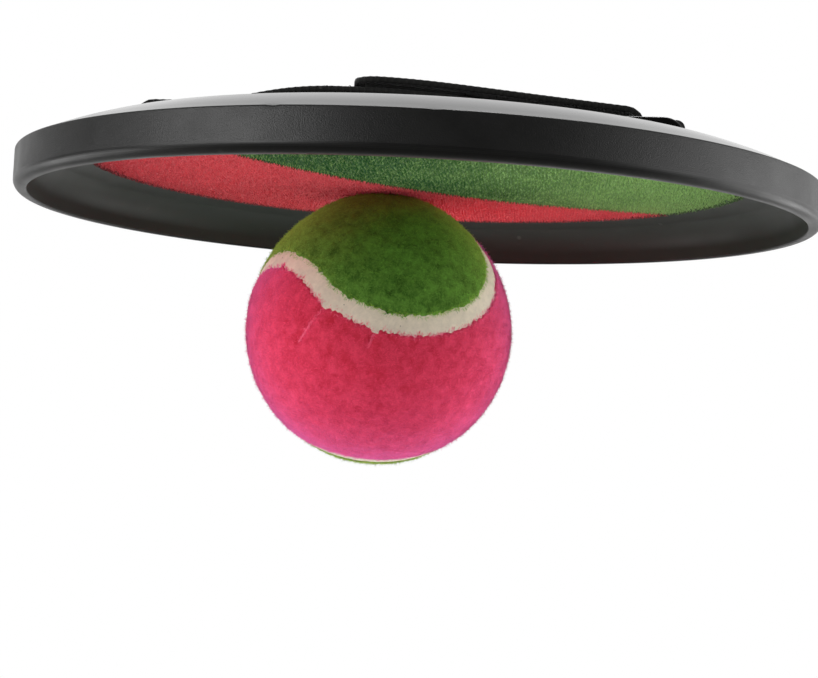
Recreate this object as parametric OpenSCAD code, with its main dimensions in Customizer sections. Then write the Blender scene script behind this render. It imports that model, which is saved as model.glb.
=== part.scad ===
// Hand-worn catch paddle: a shallow moulded dish with a hook fabric face, an adjustable hand
// strap over its back, and the felt-covered ball that the face has caught.
// Millimetres. The flat back of the dish is z = 0, the strap runs along x above it, and the
// face looks down along -z.

/* [Dish] */
// Diameter across the rim
paddle_d = 180; // [160:1:210]
// Height of the outer wall, from the lip to the edge of the shoulder
rim_h = 8.5; // [7:0.5:12]
// Thickness of the outer wall
rim_wall = 3; // [2.8:0.1:4]
// Rounding of the lip on the outside
lip_round = 2; // [0.8:0.1:2]
// Rounding of the lip on the inside
lip_inner_round = 0.4; // [0.2:0.1:0.5]
// Plan width of the sloping shoulder
shoulder_w = 13; // [9:0.5:16]
// Rise of the sloping shoulder
shoulder_h = 5; // [3:0.5:7]
// Thickness of the floor and of the shoulder
wall = 2; // [1.6:0.1:2.6]
// Radius of the inside corner between the wall and the shoulder
corner_r = 7; // [2:0.5:7]

/* [Strap bridges] */
// Distance from the centre to the outer end of a bridge
bridge_reach = 60; // [55:0.5:62]
// Length of a bridge along the strap
bridge_length = 15; // [15:0.5:18]
// Thickness of the two ears that carry the bars
ear_wall = 3; // [2:0.25:4]
// Thickness of the bars
bar_d = 3.8; // [3.6:0.2:5]
// Gap between the back and the bars
bar_lift = 3; // [3:0.1:4.5]
// Plastic left over and beside the bars in the ears
ear_cap = 0.4; // [0.4:0.1:1]
// Rounding of the ears at their outer end
ear_round = 5; // [3:0.5:6]
// Rounding of the ears at their inner end
ear_inner_round = 2.5; // [1:0.5:4]

/* [Strap] */
// Width of the webbing
band_w = 38; // [30:1:44]
// Thickness of the webbing
band_t = 1.3; // [1:0.1:1.6]
// Side gap between the webbing and an ear
ear_gap = 1; // [0.6:0.1:1.5]
// Gap between the webbing and the bar that it turns round
band_gap = 0.3; // [0.2:0.05:0.4]
// Slack of the turn round the right bar
fold_slack = 1; // [0:0.1:1.2]
// Slack of the sewn loop round the left bars
loop_slack = 1; // [0:0.1:1.5]
// Free gap between that turn and the outer bar
slot_gap = 1.2; // [0.8:0.1:1.5]
// Where the strap stands highest, along x
peak_x = -14; // [-20:1:-8]
// Height of the webbing's middle line there
peak_h = 12.5; // [11:0.5:20]
// Length of strap over which the tail is stuck down
stuck_l = 26; // [20:1:30]
// How far the webbing falls over that length
stuck_drop = 1.7; // [1:0.1:3]
// Length of the sewn overlap at the left bridge
sewn_l = 11; // [8:0.5:13]
// Gap between the two sewn layers
layer_gap = 0.2; // [0.1:0.05:0.4]
// Corner radius of the tail's free end
tail_round = 7; // [3:0.5:12]
// Thickness of the hook tape and of the loop tape
tape_t = 0.5; // [0.4:0.1:0.8]
// Gap between the hook tape and the loop tape
tape_gap = 0.2; // [0.15:0.05:0.4]
// Margin of webbing left along each side of the tapes
tape_margin = 3; // [1:0.5:6]
// How far the loop tape runs on past the tail's end
loop_extra = 6; // [2:0.5:8]

/* [Face] */
// Thickness of the hook fabric
face_t = 1.8; // [1.2:0.1:2.4]
// Thickness of the adhesive sheet
glue_t = 0.25; // [0.1:0.05:0.4]
// Distance of the fabric's edge from the corner of the floor
face_margin = 0.6; // [0.3:0.1:3]
// How far the adhesive stops short of the fabric's edge
glue_inset = 1; // [0.5:0.25:3]
// Rounding of the fabric's outer edge
face_round = 0.9; // [0.3:0.1:1.1]
// Radius of the arc where the two fabrics meet
split_r = 145; // [110:1:220]
// How far that arc bows past the centre
split_bow = 14; // [0:1:30]
// Direction in which it bows, in degrees from x
split_turn = 137; // [0:1:359]
// Gap between the two fabrics
butt_gap = 0.2; // [0.1:0.05:0.4]

/* [Ball] */
// Diameter of the ball over its felt
ball_d = 65.5; // [58:0.5:68]
// Thickness of the felt
felt_t = 2; // [1.5:0.1:3]
// Wall of the hollow core
core_wall = 3; // [2:0.25:4]
// Glue line between core and felt
glue_line = 0.05; // [0.03:0.01:0.1]
// Width of the seam
seam_w = 4.2; // [2.5:0.1:6]
// How far the seam lies below the felt
seam_drop = 0.5; // [0.2:0.1:1]
// Tilt of the four arcs of the seam, in degrees
seam_tilt = 6; // [3:0.5:12]
// Where the ball was caught, along x
ball_x = -13.2; // [-20:0.2:20]
// Where the ball was caught, along y
ball_y = 33; // [-34:0.5:34]
// How the caught ball is turned, in degrees about x, then y, then z
ball_turn = [-146, -50, -72]; // [-180:1:180]
// Gap between the ball and the face
catch_gap = 0.3; // [0.2:0.05:0.5]

/* [Hidden] */
$fn = 128;
arc_steps = 10;
curve_steps = 16;

// Dish, from the back down to the lip
rim_r = paddle_d / 2;
edge_z = -shoulder_h;
lip_z = -shoulder_h - rim_h;
slope = atan2(shoulder_h, shoulder_w);
inner_r = rim_r - rim_wall;
floor_r = rim_r - shoulder_w - wall * tan(slope / 2);
corner_x = inner_r - corner_r;
corner_z = (rim_r * sin(slope) - shoulder_h * cos(slope) - wall - corner_r
            - corner_x * sin(slope)) / cos(slope);

// Face, below the floor
face_r = floor_r - face_margin;
fabric_top = -wall - glue_t;
face_z = fabric_top - face_t;
split_centre = (split_bow - split_r) * [cos(split_turn), sin(split_turn)];

// Bridges: the inner bar is round, the outer bar is a flat one with round edges
bar_r = bar_d / 2;
bar_z = bar_lift + bar_r;
bridge_top = bar_lift + bar_d + ear_cap;
bridge_start = bridge_reach - bridge_length;
ear_y = band_w / 2 + ear_gap;
ear_root = wall / 4;
inner_bar_x = bridge_start + ear_cap + bar_r;
fold_pull_angle = 130;
fold_centre = [inner_bar_x, bar_z] + fold_slack * [cos(fold_pull_angle), sin(fold_pull_angle)];
fold_r = bar_r + band_gap + fold_slack + band_t / 2;
fold_end_x = fold_centre[0] + fold_r + band_t / 2;
outer_bar_in = fold_end_x + slot_gap + bar_r;
outer_bar_out = bridge_reach - ear_cap - bar_r;

// Pulls that shape the strap's curves: how far each curve keeps its direction at its ends
loop_leave = [8, 0.6];
peak_reach = [16, -0.6];
part_fall = [1, -0.11];
part_leave = 10;
fold_reach = 12;
tail_reach = 12;
sewn_leave = 4;
sewn_reach = 5;

// Strap route in the xz plane, from the sewn end on the left to the turn on the right
loop_r = bar_r + band_gap + (band_t + loop_slack) / 2;
loop_z = bar_z + loop_slack / 2;
loop_top = [-bridge_start, loop_z + loop_r];
loop_low = [-bridge_start, loop_z - loop_r];
peak = [peak_x, peak_h];
part = [peak_x + stuck_l, peak_h - stuck_drop];
fold_low = fold_centre - [0, fold_r];
tail_angle = 84;
tail_way = [-sin(tail_angle), cos(tail_angle)];
tail_root = fold_centre + fold_r * [cos(tail_angle), sin(tail_angle)];
tail_start_gap = 0.15;
left_rise = curve(loop_top, loop_top + loop_leave, peak - peak_reach, peak, 2 * curve_steps);
stuck_run = curve(peak, peak + [stuck_l / 3, 0], part - stuck_l / 3 * part_fall, part, curve_steps);
right_fall = curve(part, part + part_leave * part_fall, fold_low - [fold_reach, 0], fold_low, curve_steps);
fold_turn = arc(fold_centre, fold_r, -90, tail_angle, 2 * arc_steps);
loop_turn = arc([-outer_bar_out, loop_z], loop_r, 270, 90, 2 * arc_steps);
sewn_from_peak = 8;
sewn_x = peak_x - sewn_from_peak;
sewn_line = shifted(left_rise, -band_t - layer_gap);
sewn_run = [for (p = sewn_line) if (p[0] < sewn_x && p[0] > sewn_x - sewn_l) p];
sewn_way = unit(sewn_run[0] - sewn_run[1]);
sewn_drop = curve(sewn_run[0], sewn_run[0] + sewn_leave * sewn_way,
                  loop_low + [sewn_reach, 0], loop_low, curve_steps);
sewn_path = concat(reverse(sewn_run), tail_of(sewn_drop));
arch_path = concat(left_rise, tail_of(stuck_run), tail_of(right_fall), tail_of(fold_turn));
band_path = concat(sewn_path, loop_turn, arch_path);

// Layers over the webbing's middle line where the tail is stuck down
loop_base = band_t / 2;
hook_base = loop_base + tape_t + tape_gap;
tail_base = hook_base + tape_t;
stuck_mid = shifted(stuck_run, tail_base + band_t / 2);
tail_free = curve(stuck_mid[curve_steps], stuck_mid[curve_steps] + tail_reach * part_fall,
                  tail_root + tail_reach * tail_way, tail_root + tail_start_gap * tail_way, curve_steps);
tail_end_x = stuck_mid[0][0];
loop_run = [for (p = left_rise) if (p[0] > peak_x - loop_extra) p];
loop_path = concat(loop_run, tail_of(stuck_run));

// Ball, with lobes along its own x and y and waists across its own z. The arcs of the seam meet with
// a small step, so that their walls never fall on each other by a hair
ball_r = ball_d / 2;
core_r = ball_r - felt_t;
ball_centre = [ball_x, ball_y, face_z - catch_gap - ball_r];
seam_half = seam_w / ball_d * 180 / PI;
arc_step = 0.03;
arc_step_angle = arc_step / ball_r * 180 / PI;
lobe_inside = acos(cos(seam_tilt) * cos(45 - seam_half + arc_step_angle));
lobe_outside = acos(cos(seam_tilt) * cos(45 + seam_half));

// Points of an arc about c, from angle a to angle b
function arc(c, r, a, b, n) = [for (i = [0:n]) let (t = a + (b - a) * i / n) c + r * [cos(t), sin(t)]];

// Points of a cubic curve from a to d
function curve(a, b, c, d, n) =
    [for (i = [0:n])
        let (t = i / n, s = 1 - t)
        s * s * s * a + 3 * s * s * t * b + 3 * s * t * t * c + t * t * t * d];

function unit(v) = v / norm(v);
function reverse(list) = [for (i = [len(list) - 1:-1:0]) list[i]];
function tail_of(list) = [for (i = [1:len(list) - 1]) list[i]];

// A path moved sideways by d, to the left of its direction
function shifted(path, d) =
    [for (i = [0:len(path) - 1])
        let (way = unit(path[min(i + 1, len(path) - 1)] - path[max(i - 1, 0)]))
        path[i] + d * [-way[1], way[0]]];

// A strip of the given width whose section lies between two lines in the xz plane
module strip(upper, lower, width)
    rotate([90, 0, 0])
        linear_extrude(width, center = true)
            polygon(concat(upper, reverse(lower)));

// Section of the dish: back, shoulder, rim, rounded lip, inside wall, floor
module dish_section()
    polygon(concat(
        [[0, 0], [rim_r - shoulder_w, 0], [rim_r, edge_z]],
        arc([rim_r - lip_round, lip_z + lip_round], lip_round, 0, -90, arc_steps),
        arc([inner_r + lip_inner_round, lip_z + lip_inner_round], lip_inner_round, 270, 180, arc_steps),
        arc([corner_x, corner_z], corner_r, 0, 90 - slope, arc_steps),
        [[floor_r, -wall], [0, -wall]]));

// Side outline of a bridge ear, sunk a little into the back
module ear_outline()
    polygon(concat(
        [[bridge_start, -ear_root]],
        arc([bridge_start + ear_inner_round, bridge_top - ear_inner_round], ear_inner_round,
            180, 90, arc_steps),
        arc([bridge_reach - ear_round, bridge_top - ear_round], ear_round, 90, 0, arc_steps),
        [[bridge_reach, -ear_root]]));

// Bar between the ears, from x to x, with round edges
module bar(from_x, to_x) {
    length = 2 * ear_y + ear_wall;
    for (x = [from_x, to_x])
        translate([x, 0, bar_z])
            rotate([90, 0, 0])
                cylinder(h = length, r = bar_r, center = true);
    if (to_x > from_x)
        translate([from_x, -length / 2, bar_lift])
            cube([to_x - from_x, length, bar_d]);
}

module strap_bridge() {
    for (side = [-1, 1])
        translate([0, side * (ear_y + ear_wall / 2), 0])
            rotate([90, 0, 0])
                linear_extrude(ear_wall, center = true)
                    ear_outline();
    bar(inner_bar_x, inner_bar_x);
    bar(outer_bar_in, outer_bar_out);
}

module dish()
    color([0.07, 0.07, 0.06]) {
        rotate_extrude()
            dish_section();
        strap_bridge();
        mirror([1, 0, 0])
            strap_bridge();
    }

module face_adhesive()
    color([0.8, 0.78, 0.7])
        translate([0, 0, fabric_top])
            cylinder(h = glue_t, r = face_r - glue_inset);

// Whole face fabric, before it is cut in two
module face_disc()
    rotate_extrude()
        polygon(concat(
            [[0, face_z]],
            arc([face_r - face_round, face_z + face_round], face_round, 270, 360, arc_steps),
            [[face_r, fabric_top], [0, fabric_top]]));

// Cylinder on the green side of the joint, grown by a margin
module split_cylinder(margin)
    translate([split_centre[0], split_centre[1], face_z - face_t])
        cylinder(h = 3 * face_t, r = split_r + margin);

module face_red()
    color([0.67, 0.25, 0.28])
        difference() {
            face_disc();
            split_cylinder(butt_gap / 2);
        }

module face_green()
    color([0.34, 0.46, 0.25])
        intersection() {
            face_disc();
            split_cylinder(-butt_gap / 2);
        }

module strap_band()
    color([0.09, 0.09, 0.08])
        strip(shifted(band_path, band_t / 2), shifted(band_path, -band_t / 2), band_w);

module loop_patch()
    color([0.12, 0.12, 0.11])
        strip(shifted(loop_path, loop_base + tape_t), shifted(loop_path, loop_base),
              band_w - 2 * tape_margin);

// Plan of the tail: square at the turn, rounded at its free end
module tail_plan() {
    translate([tail_end_x + tail_round, -band_w / 2])
        square([fold_end_x - tail_end_x, band_w]);
    translate([tail_end_x, tail_round - band_w / 2])
        square([2 * tail_round, band_w - 2 * tail_round]);
    for (side = [-1, 1])
        translate([tail_end_x + tail_round, side * (band_w / 2 - tail_round)])
            circle(tail_round);
}

module strap_tail() {
    upper = concat(shifted(stuck_run, tail_base + band_t), tail_of(shifted(tail_free, band_t / 2)));
    lower = concat(shifted(stuck_run, tail_base), tail_of(shifted(tail_free, -band_t / 2)));
    color([0.09, 0.09, 0.08])
        intersection() {
            strip(upper, lower, band_w);
            linear_extrude(peak_h + bridge_top)
                tail_plan();
        }
}

module hook_patch()
    color([0.14, 0.14, 0.13])
        intersection() {
            strip(shifted(stuck_run, tail_base), shifted(stuck_run, hook_base), band_w - 2 * tape_margin);
            linear_extrude(peak_h + bridge_top)
                tail_plan();
        }

// Places its children in the ball's own frame
module at_ball()
    translate(ball_centre)
        rotate(ball_turn)
            children();

// Hollow ball between two radii
module shell(outer, inner)
    difference() {
        sphere(outer);
        sphere(inner);
    }

// Half of space above or below the ball's own xy plane
module half_space(side)
    translate([-ball_d, -ball_d, side > 0 ? 0 : -ball_d])
        cube([2 * ball_d, 2 * ball_d, ball_d]);

// The two cones that bound the lobes on one side of that plane
module lobe_cones(side, angle)
    for (way = [-1, 1])
        rotate(side > 0 ? [0, way * (90 - seam_tilt), 0] : [way * (90 + seam_tilt), 0, 0])
            cylinder(h = ball_d, r1 = 0, r2 = ball_d * tan(angle));

// One felt panel: two lobes on one side of the plane, and the waist between lobes on the other
module felt_panel(side)
    difference() {
        shell(ball_r, core_r + glue_line);
        difference() {
            half_space(side);
            lobe_cones(side, lobe_inside);
        }
        intersection() {
            half_space(-side);
            lobe_cones(-side, lobe_outside);
        }
    }

module ball_core_upper()
    color([0.25, 0.24, 0.23])
        at_ball()
            intersection() {
                shell(core_r, core_r - core_wall);
                half_space(1);
            }

module ball_core_lower()
    color([0.25, 0.24, 0.23])
        at_ball()
            intersection() {
                shell(core_r, core_r - core_wall);
                half_space(-1);
            }

module felt_pink()
    color([0.86, 0.2, 0.4])
        at_ball()
            felt_panel(-1);

module felt_green()
    color([0.22, 0.38, 0.12])
        at_ball()
            felt_panel(1);

// Seam: the band left between the two panels, a little below the felt
module ball_seam()
    color([0.7, 0.64, 0.56])
        at_ball()
            for (side = [-1, 1])
                difference() {
                    intersection() {
                        shell(ball_r - seam_drop, core_r + glue_line);
                        half_space(side);
                        lobe_cones(side, lobe_outside);
                    }
                    lobe_cones(side, lobe_inside);
                }

dish();
face_adhesive();
face_red();
face_green();
strap_band();
loop_patch();
strap_tail();
hook_patch();
ball_core_upper();
ball_core_lower();
felt_pink();
felt_green();
ball_seam();
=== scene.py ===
"""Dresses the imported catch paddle: a dish, a face of two hook fabrics, a strap and a felt ball.

Every piece is built in metres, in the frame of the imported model, and rides on one of its bodies.
"""

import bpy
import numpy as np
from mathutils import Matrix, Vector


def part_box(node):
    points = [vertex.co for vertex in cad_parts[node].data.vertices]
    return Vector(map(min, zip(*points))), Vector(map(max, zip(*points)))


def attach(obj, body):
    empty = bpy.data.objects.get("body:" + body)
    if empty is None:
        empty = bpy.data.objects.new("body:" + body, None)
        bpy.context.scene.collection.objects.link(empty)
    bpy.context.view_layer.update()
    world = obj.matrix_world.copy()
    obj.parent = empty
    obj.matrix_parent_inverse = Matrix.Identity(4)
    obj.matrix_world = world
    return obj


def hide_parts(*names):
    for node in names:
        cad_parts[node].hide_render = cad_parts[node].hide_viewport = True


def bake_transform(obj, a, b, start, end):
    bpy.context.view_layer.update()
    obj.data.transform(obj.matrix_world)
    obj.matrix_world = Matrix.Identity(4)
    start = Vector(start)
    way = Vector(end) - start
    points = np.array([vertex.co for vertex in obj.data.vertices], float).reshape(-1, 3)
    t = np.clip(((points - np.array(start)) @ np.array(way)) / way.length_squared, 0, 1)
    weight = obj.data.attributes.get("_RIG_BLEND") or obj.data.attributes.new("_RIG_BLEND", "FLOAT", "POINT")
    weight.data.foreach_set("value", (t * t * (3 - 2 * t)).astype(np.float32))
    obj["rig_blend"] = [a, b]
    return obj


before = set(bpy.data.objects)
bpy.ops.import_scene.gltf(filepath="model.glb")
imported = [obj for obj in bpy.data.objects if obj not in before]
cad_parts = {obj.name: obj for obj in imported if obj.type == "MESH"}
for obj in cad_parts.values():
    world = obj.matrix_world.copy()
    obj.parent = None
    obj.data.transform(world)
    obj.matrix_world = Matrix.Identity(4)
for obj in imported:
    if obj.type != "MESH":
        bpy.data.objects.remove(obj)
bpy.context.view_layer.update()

import math
import random

import bmesh
import bpy
from bpy.props import FloatProperty, FloatVectorProperty, IntProperty, PointerProperty
from mathutils import Euler, Matrix, Vector, noise

bl_info = {
    "name": "Catch Paddle Looks",
    "version": (1, 0, 0),
    "blender": (4, 5, 0),
    "location": "View3D > Sidebar > Paddle",
    "description": "Builds the looks of a hook and loop catch paddle around its packed frame",
    "category": "Object",
}

MM = 0.001
PICTURE_WIDTH = 818
UP = Vector((0, 0, 1))
WHITE = (1, 1, 1, 1)
NOISE_RANGE = (0.3, 0.7)
VERT, EDGE, FACE = bmesh.types.BMVert, bmesh.types.BMEdge, bmesh.types.BMFace


# Values for the properties

def linear(red, green, blue):
    """The linear colour of sRGB levels from 0 to 255."""
    def one(level):
        share = level / 255
        return share / 12.92 if share <= 0.04045 else ((share + 0.055) / 1.055) ** 2.4
    return one(red), one(green), one(blue)


def metres(name, description, value):
    """A property for a size, given in metres."""
    return FloatProperty(name=name, description=description, default=value, unit="LENGTH",
                         precision=5)


def length(name, description, millimetres):
    """A property for a size, given in millimetres."""
    return metres(name, description, millimetres * MM)


def turn(name, description, degrees):
    """A property for an angle, given in degrees."""
    return FloatProperty(name=name, description=description, default=math.radians(degrees),
                         subtype="ANGLE")


def colour(name, description, red, green, blue):
    """A property for a colour, given as sRGB levels."""
    return FloatVectorProperty(name=name, description=description, subtype="COLOR", size=3,
                               min=0, max=1, default=linear(red, green, blue))


def triple(name, description, subtype, value, unit="NONE"):
    """A property for a place, a direction, a turn or a size along three axes."""
    return FloatVectorProperty(name=name, description=description, subtype=subtype, unit=unit,
                               default=value)


def amount(name, description, number, least=0):
    """A property for a count."""
    return IntProperty(name=name, description=description, default=number, min=least)


def ball_box():
    """Lowest and highest corner of the two felt panels together."""
    corners = [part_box(node) for node in ("felt_pink", "felt_green")]
    low = Vector(map(min, *(c[0] for c in corners)))
    high = Vector(map(max, *(c[1] for c in corners)))
    return low, high


DISH_LOW, DISH_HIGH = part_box("dish")
FACE_LOW, FACE_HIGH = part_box("face_red")
BALL_LOW, BALL_HIGH = ball_box()


class DishSettings(bpy.types.PropertyGroup):
    """Sizes and colours of the moulded dish and its strap bridges"""

    rim_radius: metres("Rim radius", "Outside radius of the rim", DISH_HIGH.x)
    lip_height: metres("Lip height", "Height of the lip, below the back", DISH_LOW.z)
    rim_wall: length("Rim wall", "Thickness of the outer wall", 3)
    shoulder_width: length("Shoulder width", "Plan width of the sloping shoulder", 13)
    shoulder_height: length("Shoulder height", "Rise of the sloping shoulder", 5)
    wall: length("Wall", "Thickness of the floor and the shoulder", 2)
    lip_round: length("Lip rounding", "Rounding of the lip on the outside", 2)
    bridge_start: length("Bridge start", "From the centre to the inner end of a bridge", 45)
    bridge_end: length("Bridge end", "From the centre to the outer end of a bridge", 60)
    bridge_top: length("Bridge top", "Height of the bridges above the back", 7.2)
    ear_side: length("Ear side", "From the middle to the inner side of an ear", 20)
    ear_wall: length("Ear wall", "Thickness of an ear", 3)
    bar_radius: length("Bar radius", "Half the thickness of the bars", 1.9)
    bar_height: length("Bar height", "Height of the middle of the bars", 4.9)
    inner_bar: length("Inner bar", "From the centre to the round bar", 47.3)
    outer_bar_start: length("Outer bar start", "From the centre to the flat bar's inner side",
                            52.36)
    outer_bar_end: length("Outer bar end", "From the centre to the flat bar's outer side", 59.6)
    steps: amount("Steps", "Steps of the turned dish", 384, 64)
    grained: colour("Grained", "Colour of the grained wall", 9, 9, 8)
    polished: colour("Polished", "Colour of the polished shoulder and back", 14, 13, 12)
    satin: colour("Satin", "Colour of the inside", 53, 57, 53)


class FaceSettings(bpy.types.PropertyGroup):
    """Sizes and colours of the two hook fabrics"""

    radius: metres("Radius", "Radius of the whole face", -FACE_LOW.x)
    backing_top: metres("Backing top", "Height of the side bonded to the dish", FACE_HIGH.z)
    tips: metres("Tips", "Height of the tips of the hooks", FACE_LOW.z)
    backing: length("Backing", "Thickness of the woven backing", 1.15)
    split_radius: length("Split radius", "Radius of the arc where the fabrics meet", 145)
    split_bow: length("Split bow", "How far that arc bows past the centre", 14)
    split_turn: turn("Split turn", "Direction in which it bows", 137)
    lap_height: length("Lap height", "How far the green fabric stands up along the joint", 0.6)
    hook_pitch: length("Hook pitch", "Distance between hooks", 0.75)
    row_turn: turn("Row turn", "Direction of the rows of hooks", 5)
    red: colour("Red", "Colour of the red hooks", 240, 96, 106)
    red_dark: colour("Red backing", "Colour of the red backing", 212, 76, 86)
    green: colour("Green", "Colour of the green hooks", 172, 212, 128)
    green_dark: colour("Green backing", "Colour of the green backing", 32, 95, 36)


class StrapSettings(bpy.types.PropertyGroup):
    """Sizes and colours of the webbing, its tapes and its stitching"""

    width: length("Width", "Width of the webbing", 38)
    thickness: length("Thickness", "Thickness of the webbing", 1.3)
    tape_width: length("Tape width", "Width of the hook tape and of the loop tape", 32)
    tape_thickness: length("Tape thickness", "Thickness of the tapes", 0.5)
    end_round: length("End rounding", "Corner radius of the tail's free end", 7)
    yarn: length("Yarn", "Distance between crossings of the weave", 0.8)
    yarn_height: length("Yarn height", "How far the yarns stand out of the weave", 0.04)
    stitch_pitch: length("Stitch pitch", "Distance between stitches", 2.6)
    stitch_size: triple("Stitch size", "Half the length, width and height of a stitch", "XYZ",
                        (1.1 * MM, 0.26 * MM, 0.2 * MM), "LENGTH")
    webbing: colour("Webbing", "Colour of the webbing", 27, 27, 25)
    thread: colour("Thread", "Colour of the sewing thread", 44, 44, 42)
    tape: colour("Tape", "Colour of the hook tape and of the loop tape", 36, 36, 35)


class BallSettings(bpy.types.PropertyGroup):
    """Sizes and colours of the felt ball"""

    centre: triple("Centre", "Middle of the ball", "TRANSLATION", (BALL_LOW + BALL_HIGH) / 2,
                   "LENGTH")
    radius: metres("Radius", "Radius over the felt", (BALL_HIGH.z - BALL_LOW.z) / 2)
    attitude: triple("Attitude", "How the ball is turned", "EULER",
                     [math.radians(degrees) for degrees in (-146, -50, -72)])
    felt: length("Felt", "Thickness of the felt", 1.9)
    seam_width: length("Seam width", "Width of the seam", 4.2)
    seam_drop: length("Seam drop", "How far the seam lies below the felt", 0.45)
    seam_tilt: turn("Seam tilt", "Tilt of the arcs of the seam", 6)
    cuts: amount("Cuts", "Cuts along each side of the ball's mesh", 63, 15)
    fibres: amount("Fibres", "Fibres in the nap of one panel", 43000)
    fibre_length: length("Fibre length", "Length of a fibre of the nap", 1.2)
    fibre_radius: length("Fibre radius", "Radius of a fibre at its root", 0.07)
    fringe: amount("Fringe", "Loose fibres on each edge of a panel's outline", 12)
    ceiling: metres("Ceiling", "Height of the tips of the hooks that hold the ball", FACE_LOW.z)
    crown_rise: length("Crown rise", "How far the hooks draw the felt out round the crown", 1.6)
    crown_spread: turn("Crown spread", "How far down the ball the felt is drawn out", 35)
    pink: colour("Pink", "Colour of the pink felt", 255, 78, 110)
    pink_dark: colour("Dark pink", "Colour deep in the pink nap", 200, 32, 48)
    pink_fray: colour("Frayed pink", "Colour of loose pink fibres", 250, 140, 172)
    pink_sheen: colour("Pink sheen", "Colour of the pink nap at a low angle", 255, 140, 224)
    green: colour("Green", "Colour of the green felt", 128, 184, 78)
    green_dark: colour("Dark green", "Colour deep in the green nap", 44, 80, 24)
    green_fray: colour("Frayed green", "Colour of loose green fibres", 190, 200, 84)
    green_sheen: colour("Green sheen", "Colour of the green nap at a low angle", 176, 196, 84)
    seam: colour("Seam", "Colour of the seam", 248, 230, 212)


class StageSettings(bpy.types.PropertyGroup):
    """Camera and floor"""

    eye: triple("Eye", "Place of the camera", "TRANSLATION",
                (61.35 * MM, -389.48 * MM, -63.76 * MM), "LENGTH")
    forward: triple("Forward", "Direction of view", "DIRECTION", (-0.15617, 0.98599, 0.05863))
    upward: triple("Upward", "Direction that is up in the picture", "DIRECTION",
                   (-0.04233, -0.06598, 0.99692))
    focal_pixels: FloatProperty(name="Focal length", default=1741.43,
                                description="Focal length in pixels of the picture")
    floor_height: length("Floor height", "Height of the floor", -350)
    floor_reach: metres("Floor reach", "Half the side of the floor", 3)


# Shader nodes

def add(tree, kind, inputs=(), **settings):
    """Adds a node with settings, and sets or links its inputs."""
    made = tree.nodes.new(kind)
    for name, value in settings.items():
        setattr(made, name, value)
    for socket, value in dict(inputs).items():
        if isinstance(value, bpy.types.NodeSocket):
            tree.links.new(value, made.inputs[socket])
        else:
            made.inputs[socket].default_value = value
    return made


def feed(tree, node, **values):
    """Links values to a node's sockets."""
    for socket, value in values.items():
        tree.links.new(value, node.inputs[socket.replace("_", " ")])


def calc(tree, operation, *values, clamp=False):
    """The result of a math node."""
    return add(tree, "ShaderNodeMath", enumerate(values), operation=operation,
               use_clamp=clamp).outputs[0]


def times(tree, first, second):
    """The product of two values."""
    return calc(tree, "MULTIPLY", first, second)


def vector_calc(tree, operation, *values, **named):
    """The outputs of a vector math node."""
    return add(tree, "ShaderNodeVectorMath", {**dict(enumerate(values)), **named},
               operation=operation).outputs


def axes(tree, vector):
    """The three coordinates of a vector."""
    return add(tree, "ShaderNodeSeparateXYZ", {0: vector}).outputs


def attribute(tree, name):
    """A value that the mesh carries."""
    return add(tree, "ShaderNodeAttribute", attribute_name=name).outputs["Fac"]


def mix(tree, share, first, second):
    """The result of a colour mix."""
    def four(value):
        return value if isinstance(value, bpy.types.NodeSocket) else (*value, 1)
    return add(tree, "ShaderNodeMix", {0: share, 6: four(first), 7: four(second)},
               data_type="RGBA").outputs[2]


def spread(tree, value, from_low, from_high, low=0.0, high=1.0):
    """A value mapped from one range to another and kept in it."""
    return add(tree, "ShaderNodeMapRange",
               {0: value, 1: from_low, 2: from_high, 3: low, 4: high}).outputs[0]


def noise_of(tree, vector, scale, detail=2.0, roughness=0.5):
    """A noise texture's value."""
    return add(tree, "ShaderNodeTexNoise", {"Vector": vector, "Scale": scale, "Detail": detail,
                                            "Roughness": roughness}).outputs["Fac"]


def new_group(label, inputs, outputs):
    """A shader group with the given sockets, the sockets of its start, and its end."""
    group = bpy.data.node_groups.new(label, "ShaderNodeTree")
    for in_out, names in (("INPUT", inputs), ("OUTPUT", outputs)):
        for name in names:
            kind = "NodeSocketVector" if name == "Vector" else "NodeSocketFloat"
            group.interface.new_socket(name, in_out=in_out, socket_type=kind)
    start, end = group.nodes.new("NodeGroupInput"), group.nodes.new("NodeGroupOutput")
    return group, start.outputs[:len(inputs)], end


def grain_group(label):
    """Fine moulded grain, and the slow mottle and the scuffs of a worn surface."""
    group, (vector, scale), end = new_group(label, ("Vector", "Scale"),
                                            ("Height", "Mottle", "Scuffs"))
    stretched = add(group, "ShaderNodeMapping", {"Vector": vector, "Scale": (0.25, 1, 1),
                                                 "Rotation": (0.3, 0.2, 0.6)}).outputs[0]
    scuffs = noise_of(group, stretched, times(group, scale, 0.35), 3, 0.7)
    feed(group, end, Height=noise_of(group, vector, scale, 2),
         Mottle=noise_of(group, vector, times(group, scale, 0.03), 4),
         Scuffs=spread(group, scuffs, 0.64, 0.74))


def nap_group(label):
    """Matted fibres: a height, and a painted shade that follows it from deep in the nap to its tips."""
    group, (vector, scale), end = new_group(label, ("Vector", "Scale"), ("Height", "Shade"))
    warp = add(group, "ShaderNodeTexNoise", {"Vector": vector, "Scale": times(group, scale, 0.2),
                                             "Detail": 2.0}).outputs["Color"]
    bent = vector_calc(group, "SCALE", warp, Scale=0.004)[0]
    moved = vector_calc(group, "ADD", vector, bent)[0]
    fine = noise_of(group, moved, scale, 4, 0.65)
    tufts = noise_of(group, moved, times(group, scale, 0.22), 3)
    both = calc(group, "ADD", times(group, fine, 0.6), times(group, tufts, 0.4))
    # The shade follows the height, darker where it is low: painted shade in the nap.
    feed(group, end, Height=both, Shade=spread(group, both, 0.36, 0.64))


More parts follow.
